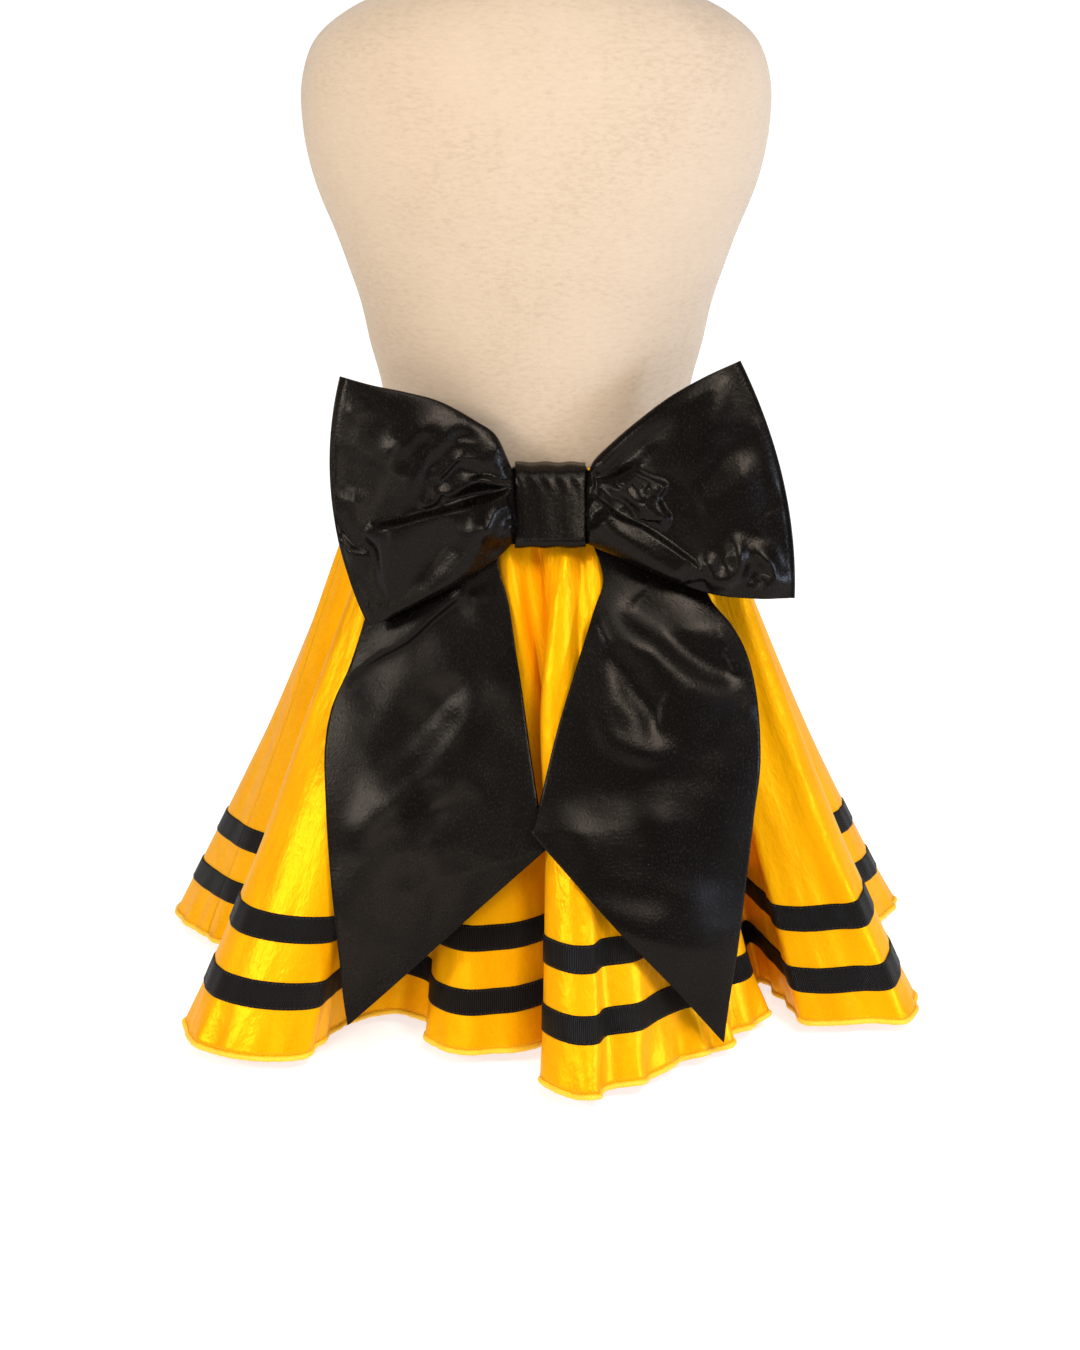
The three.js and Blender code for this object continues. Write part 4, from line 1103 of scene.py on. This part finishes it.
# Wings: flat seamed tubes of cloth. A row for each rib from the knot outwards: upper and lower end
# (x, depth, z), bulge of the rib away from the knot, half the thickness at its middle. The finer
# crumples gather round one x, z place.
WINGS = {
    "left": {
        "side": -1,
        "ribs": [
            (-22, 117, 453, -22, 134, 397, 0, 9), (-33, 118, 478, -32, 138, 388, 0, 9),
            (-50, 118, 491, -58, 141, 370, 2, 9.5), (-77, 119, 506, -85, 143, 357, 6, 10),
            (-103, 118, 513, -109, 145, 345, 12, 9), (-130, 115, 518, -123, 145, 338, 16, 6),
            (-154, 111, 524, -134, 144, 335, 17, 1.2),
        ],
        "crumple": (-62, 458, 27),
        "strokes": LEFT_WING_CREASES,
    },
    "right": {
        "side": 1,
        "ribs": [
            (38, 117, 451, 38, 134, 397, 0, 9), (42, 118, 460, 63, 141, 387, 0, 9),
            (56, 118, 474, 89, 146, 377, 2, 9.5), (74, 119, 490, 112, 149, 368, 4, 10),
            (99, 118, 509, 136, 151, 361, 8, 9.5), (126, 115, 524, 166, 151, 358, 12, 6.5),
            (154, 110, 536, 197, 149, 358, 12, 1.2),
        ],
        "crumple": (74, 440, 22),
        "strokes": RIGHT_WING_CREASES,
    },
}
WING_RIBS, WING_STEPS = 150, 150
WING_EDGE, WING_ROOT_EDGE = 1.0, 3.0
WING_ROOT_ROWS = 10
WING_CROWDING = 0.86  # the steps across a rib lie closer by its ends


def wing_rows(wing):
    """Ribs from inside the knot to the wing's end: top point, low point, bulge, half thickness."""
    ribs = np.array(wing["ribs"], float)
    t = np.linspace(0, 1, WING_RIBS)
    at, stations = t * (len(ribs) - 1), np.arange(len(ribs))
    thick = np.stack([np.interp(at, stations, ribs[:, k]) for k in (6, 7)], -1)
    body = np.concatenate([catmull_rom(ribs, t)[:, :6], thick], 1)
    z_top, z_low = KNOT["z"] + ROOT_HALF_HEIGHT, KNOT["z"] - ROOT_HALF_HEIGHT
    depth_top, depth_low = (
        knot_back(z) + WING_ROOT_BACK + WING_ROOT_HALF for z in (z_top, z_low)
    )
    root = [
        (x, depth_top, z_top, x, depth_low, z_low, 0, WING_ROOT_HALF)
        for x in root_stations(wing["side"], 0.5, WING_ROOT_ROWS)
    ]
    inside = np.repeat([True, False], [WING_ROOT_ROWS, WING_RIBS])
    return np.concatenate([np.array(root), body]), inside


def distance_from_end(rows):
    """Distance of each rib from the wing's seamed end, along its middle."""
    middle = (rows[:, (0, 2)] + rows[:, (3, 5)]) / 2
    middle[:, 0] += np.sign(middle[:, 0] - KNOT["x"]) * rows[:, 6]
    step = np.linalg.norm(np.diff(middle, axis=0), axis=1)
    return np.concatenate([np.cumsum(step[::-1])[::-1], [0]])


def wing_piece(name, wing, seed):
    side = wing["side"]
    rows, inside = wing_rows(wing)
    v = np.linspace(-1, 1, WING_STEPS)
    v = np.sin(v * math.pi / 2 * WING_CROWDING) / math.sin(math.pi / 2 * WING_CROWDING)
    arch = np.maximum(1 - v * v, 0)[None]
    across = ((v + 1) / 2)[None]
    x_top, depth_top, z_top, x_low, depth_low, z_low, bulge, half = rows.T[..., None]
    x = mix(x_top, x_low, across) + side * bulge * arch
    z = mix(z_top, z_low, across)
    middle = mix(depth_top, depth_low, across)
    rounded = np.where(
        inside[:, None],
        mix(WING_ROOT_EDGE, half, arch**0.3),
        mix(np.minimum(WING_EDGE, half), half, arch**0.6),
    )
    from_knot = np.abs(x - KNOT["x"])
    free = smooth(from_knot / (KNOT["width"] / 2) * 4 - 3.4)
    strength = free * arch**0.3 * clamp(half / 4)
    swell = 0.38 * cloth_noise(x, z, seed, 64) + 0.10 * cloth_noise(x, z, seed + 1, 26)
    middle_x, middle_z, spread = wing["crumple"]
    crumpled = bump(np.hypot(x - middle_x, z - middle_z), spread)
    swell += crumpled * 1.5 * (0.6 - np.abs(cloth_noise(x, z, seed + 3, 30)))
    near_knot = bump(from_knot - KNOT["width"] / 2, 18)
    fan = (z - KNOT["z"]) / (5.5 + 0.13 * from_knot) + 0.25 * cloth_noise(x, z, seed + 4, 30)
    gathers = 1.3 * near_knot * (0.6 - np.abs(np.sin(fan * math.pi / 2 + 0.7 * side)))
    front = middle + rounded + strength * (lifted(wing["strokes"], x, z) + swell + gathers)
    # The groove of the seam near the wing's end.
    front = front - 0.5 * bump(distance_from_end(rows)[:, None] - 3.2, 1.3) * clamp(half / 1.2)
    hidden = 0.2 * lifted(wing["strokes"][:1], x, z) + swell + 0.6 * gathers
    behind = middle - rounded - strength * (hidden - 1.2 * cloth_noise(x, z, seed + 2, 60))
    outer, inner = np.stack([x, -front, z], -1), np.stack([x, -behind, z], -1)
    uv = np.stack([from_knot * MM, np.broadcast_to(z * MM, x.shape)], -1)
    if side > 0:
        outer, inner, uv = outer[:, ::-1], inner[:, ::-1], uv[:, ::-1]
    return shell(name, outer, inner, uv, black_satin)


for index, (name, wing) in enumerate(WINGS.items()):
    piece = wing_piece(f"bow_wing_{name}_cloth", wing, 40 + 10 * index)
    carried(piece, f"bow_wing_{name}")

LEFT_TAIL_CREASES = [
    fold(4.5, 20, 2, -1, 0.5, 20, 0.1, 0.2, -58, 357, -84, 336, -103, 319, -125, 306, -146, 291,
        -160, 276),
    ridge(-4.5, 17, 0.3, 0.4, -58, 301, -70, 280, -90, 254, -113, 224, -129, 209),
    ridge(5, 17, 0.25, 0.2, -17, 300, -35, 291, -56, 267, -84, 237, -116, 202, -144, 174,
        -163, 156),
    ridge(2.6, 13, 0.35, 0.4, -95, 213, -74, 222, -56, 221, -41, 213, -25, 209),
    ridge(2.4, 13, 0.25, 0.5, -161, 154, -140, 153, -117, 163, -90, 174, -58, 189),
    ridge(-2.4, 15, 0.5, 0.5, -109, 179, -86, 195, -56, 202),
    ridge(2, 5, 0.35, 0.35, -58, 350, -47, 355, -33, 359),
    ridge(1.2, 4, 0.35, 0.35, -31, 318, -23, 316, -18, 314),
]
RIGHT_TAIL_CREASES = [
    fold(5, 26, 7.5, -1, 1.3, 22, 0.2, 0.2, 54, 359, 64, 344, 80, 333, 91, 327, 103, 316, 119, 304,
        134, 297, 148, 293, 157, 296, 161, 305),
    fold(3.6, 22, 8, -1, 1.1, 18, 0.35, 0.3, 51, 328, 54, 313, 64, 292, 76, 276, 86, 261, 93, 259,
        102, 265),
    ridge(2.4, 10, 0.35, 0.35, 40, 300, 45, 278, 56, 257, 74, 248, 87, 245, 103, 250, 113, 259),
    ridge(2.2, 18, 0.35, 0.4, 93, 287, 115, 274, 138, 255),
    ridge(2.2, 13, 0.45, 0.5, -2, 224, 17, 202, 37, 179, 50, 160),
    ridge(1.6, 24, 0.5, 0.5, 72, 196, 91, 201, 117, 194),
    ridge(1.6, 15, 0.5, 0.5, 85, 161, 107, 146, 126, 129, 136, 118),
    ridge(1.5, 7, 0.35, 0.35, 168, 283, 163, 274, 156, 268),
    ridge(1.3, 3, 0.35, 0.35, 43, 346, 52, 328, 57, 323),
    ridge(1.2, 3, 0.35, 0.35, 35, 323, 49, 321, 56, 326),
]
# Tails: a row for each section: outer edge, inner edge (x, depth, z), and how far its middle
# bellies. The slanted cut begins at the section `corner`.
TAILS = {
    "left": {
        "side": -1,
        "sections": [
            (-46, 111, 446, -25, 120, 395, 0), (-84, 109, 430, -29, 123, 388, 0),
            (-116, 114, 395, -33, 126, 381, 1), (-134, 123, 345, -31, 129, 371, 2),
            (-150, 131, 297, -25, 135, 352, 4), (-164, 140, 266, -19, 147, 316, 5),
            (-169, 153, 238, -14, 158, 286, 5), (-168, 171, 200, -8, 177, 247, 5),
            (-165, 188, 156, -2, 197, 212, 4), (-161, 204, 121, 5, 217, 176, 3),
            (-156, 219, 81, -54, 224, 123, 1), (-153, 228, 55, -109, 229, 72, 0),
            (-150, 233, 36, -147, 233, 38, 0),
        ],
        "corner": 9,
        "strokes": LEFT_TAIL_CREASES,
    },
    "right": {
        "side": 1,
        "sections": [
            (62, 111, 446, 41, 121, 394, 0), (98, 112, 430, 46, 129, 382, 0),
            (122, 121, 392, 49, 136, 367, 2), (132, 136, 355, 42, 148, 348, 6),
            (149, 145, 335, 35, 159, 328, 8), (160, 151, 316, 25, 173, 299, 8),
            (168, 161, 286, 12, 191, 259, 8), (171, 182, 236, 0, 208, 212, 8),
            (166, 196, 197, -7, 221, 191, 10), (159, 214, 141, 23, 236, 160, 10),
            (153, 228, 96, 60, 252, 122, 8), (147, 236, 58, 105, 247, 71, 2),
            (143, 241, 25, 140, 241, 28, 0),
        ],
        "corner": 8,
        "strokes": RIGHT_TAIL_CREASES,
    },
}
TAIL_ROWS, TAIL_COLUMNS, TAIL_ROOT_ROWS = 170, 76, 8


def tail_grid(tail, seed):
    """Points of a tail's outer face, x, depth and z: the rows in the knot, then those that hang."""
    sections = np.array(tail["sections"], float)
    t = np.linspace(0, 1, TAIL_ROWS)
    out_edge = catmull_rom(sections[:, :3], t)
    # The inner edge turns sharply where the slanted cut begins.
    corner, last = tail["corner"], len(sections) - 1
    at = t * last
    above = catmull_rom(sections[: corner + 1, 3:6], at / corner)
    below = catmull_rom(sections[corner:, 3:6], (at - corner) / (last - corner))
    in_edge = np.where((at <= corner)[:, None], above, below)
    belly = np.interp(at, np.arange(len(sections)), sections[:, 6])
    across = np.linspace(0, 1, TAIL_COLUMNS)
    body = mix(out_edge[:, None], in_edge[:, None], across[None, :, None])
    x, depth, z = np.moveaxis(body, -1, 0)
    arch = (4 * across * (1 - across))[None]
    swell = 0.7 * cloth_noise(x, z, seed, 90) + 0.2 * cloth_noise(x, z, seed + 1, 30)
    free = smooth(t * 6)[:, None]
    relief = (lifted(tail["strokes"], x, z) + swell) * (arch**0.5 * 0.85 + 0.15) * free
    body = np.stack([x, depth + belly[:, None] * arch + relief, z], -1)
    half = ROOT_HALF_HEIGHT - TAIL_ROOT_INSET
    root_z = mix(KNOT["z"] + half, KNOT["z"] - half, across)
    root_depth = knot_back(root_z) + TAIL_ROOT_BACK + ROOT_THICKNESS
    root = [
        np.stack([np.full_like(root_z, root_x), root_depth, root_z], -1)
        for root_x in root_stations(tail["side"], 1, TAIL_ROOT_ROWS)
    ]
    return np.concatenate([np.array(root), body])


def surface_tree(*pieces):
    points, faces = [], []
    for piece in pieces:
        start = len(points)
        points.extend(v.co.copy() for v in piece.data.vertices)
        faces.extend(tuple(start + i for i in p.vertices) for p in piece.data.polygons)
    return BVHTree.FromPolygons(points, faces)


EVENINGS, EVENING_FALL = 6, 0.96


def rest_on(depth, x, z, tree, gap):
    """Least depth at which cloth at x, z clears what lies behind it, evened out along the cloth."""
    need = np.full(x.shape, -1e3)
    towards = Vector((0, 1, 0))
    for place in np.ndindex(x.shape):
        origin = Vector((x[place] * MM + SHIFT[0], -1.0, z[place] * MM))
        hit = tree.ray_cast(origin, towards)[0]
        if hit is not None:
            need[place] = -(hit.y - SHIFT[1]) / MM + gap
    push = np.maximum(need - depth, 0)
    for _ in range(EVENINGS):
        spread = np.pad(push, 1, mode="edge")
        even = (spread[:-2, 1:-1] + spread[2:, 1:-1] + spread[1:-1, :-2] + spread[1:-1, 2:]) / 4
        push = np.maximum(push, even * EVENING_FALL)
    return depth + push


TAIL_CLEARANCE = 0.6
behind = [*skirt_pieces.values(), *ribbon_pieces.values(), waistband]
for index, (name, tail) in enumerate(TAILS.items()):
    grid = tail_grid(tail, 80 + 10 * index)
    x, depth, z = np.moveaxis(grid[TAIL_ROOT_ROWS:], -1, 0)
    depth[:] = rest_on(depth, x, z, surface_tree(*behind), TAIL_WALL + TAIL_CLEARANCE)
    outer = grid * (1, -1, 1)
    inner = outer + np.array([0, TAIL_WALL, 0])
    length = run_length(outer[:, TAIL_COLUMNS // 2]) * MM
    width = np.linalg.norm(outer - outer[:, :1], axis=-1) * MM
    uv = np.stack([width, np.broadcast_to(length[:, None], width.shape)], -1)
    if tail["side"] > 0:
        outer, inner, uv = outer[:, ::-1], inner[:, ::-1], uv[:, ::-1]
    piece = shell(f"bow_tail_{name}_cloth", outer, inner, uv, black_satin, crisp=True)
    carried(piece, f"bow_tail_{name}")
    behind.append(piece)

# ---- stage ---------------------------------------------------------------------------------------
FLOOR_HALF = 60.0
floor_mesh = bpy.data.meshes.new("floor")
floor_mesh.from_pydata(
    [(FLOOR_HALF * x, FLOOR_HALF * y, 0) for x, y in ((-1, -1), (1, -1), (1, 1), (-1, 1))],
    [],
    [(0, 1, 2, 3)],
)
floor_look = Nodes("floor_paper")
floor_look.fixed("Base Color", (0.60, 0.60, 0.60))
floor_look.fixed("Roughness", 1.0)
floor_look.fixed("Specular IOR Level", 0.0)
floor_look.fixed("Emission Color", (1, 1, 1))
floor_look.fixed("Emission Strength", 0.70)
floor_mesh.materials.append(floor_look.material)
new_object("floor", floor_mesh)

world = bpy.data.worlds.new("studio")
bpy.context.scene.world = world
world.use_nodes = True
background = world.node_tree.nodes["Background"]
background.inputs["Color"].default_value = (1.0, 0.995, 0.985, 1)
background.inputs["Strength"].default_value = 0.32


def aimed(thing, heading):
    """Turns a lamp or camera to look along a heading."""
    thing.rotation_mode = "QUATERNION"
    thing.rotation_quaternion = Vector(heading).to_track_quat("-Z", "Y")
    return thing


LIGHT_AIM = Vector((0, 0, 0.3))
SOFTBOXES = [
    # name, place, width, height, power, colour
    ("key", (1.0, -1.9, 2.1), 0.6, 0.7, 35, (1.0, 0.94, 0.87)),
    ("front", (-0.95, -2.1, 0.62), 0.35, 0.6, 5, (1.0, 0.93, 0.86)),
    ("fill", (-1.9, -1.5, 1.3), 0.4, 0.55, 25, (1.0, 0.97, 0.94)),
    ("side", (2.3, -1.1, 0.7), 0.4, 0.6, 30, (0.56, 0.71, 1.0)),
]
for name, place, width, height, power, colour in SOFTBOXES:
    light = bpy.data.lights.new(name, "AREA")
    light.shape = "RECTANGLE"
    light.size, light.size_y = width, height
    light.energy = power
    light.color = colour
    lamp = aimed(new_object(name, light), LIGHT_AIM - Vector(place))
    lamp.location = place

overhead = bpy.data.lights.new("overhead", "SUN")
overhead.energy = 1.05
overhead.angle = math.radians(35)
overhead.color = (1.0, 0.985, 0.96)
aimed(new_object("overhead", overhead), (-0.15, 0.55, -1.0))

# ---- camera --------------------------------------------------------------------------------------
CAMERA = {"distance": 2.2, "elevation": 17.0, "target_z": 0.25, "lens": 87.3}
camera_data = bpy.data.cameras.new("camera")
camera_data.sensor_fit = "HORIZONTAL"
camera_data.sensor_width = 36.0
camera_data.lens = CAMERA["lens"]
camera = new_object("camera", camera_data)
tilt = math.radians(CAMERA["elevation"])
target = Vector((SHIFT[0], SHIFT[1], CAMERA["target_z"]))
camera.location = target + CAMERA["distance"] * Vector((0, -math.cos(tilt), math.sin(tilt)))
aimed(camera, target - camera.location)
bpy.context.scene.camera = camera

bpy.context.scene.view_settings.view_transform = "Standard"
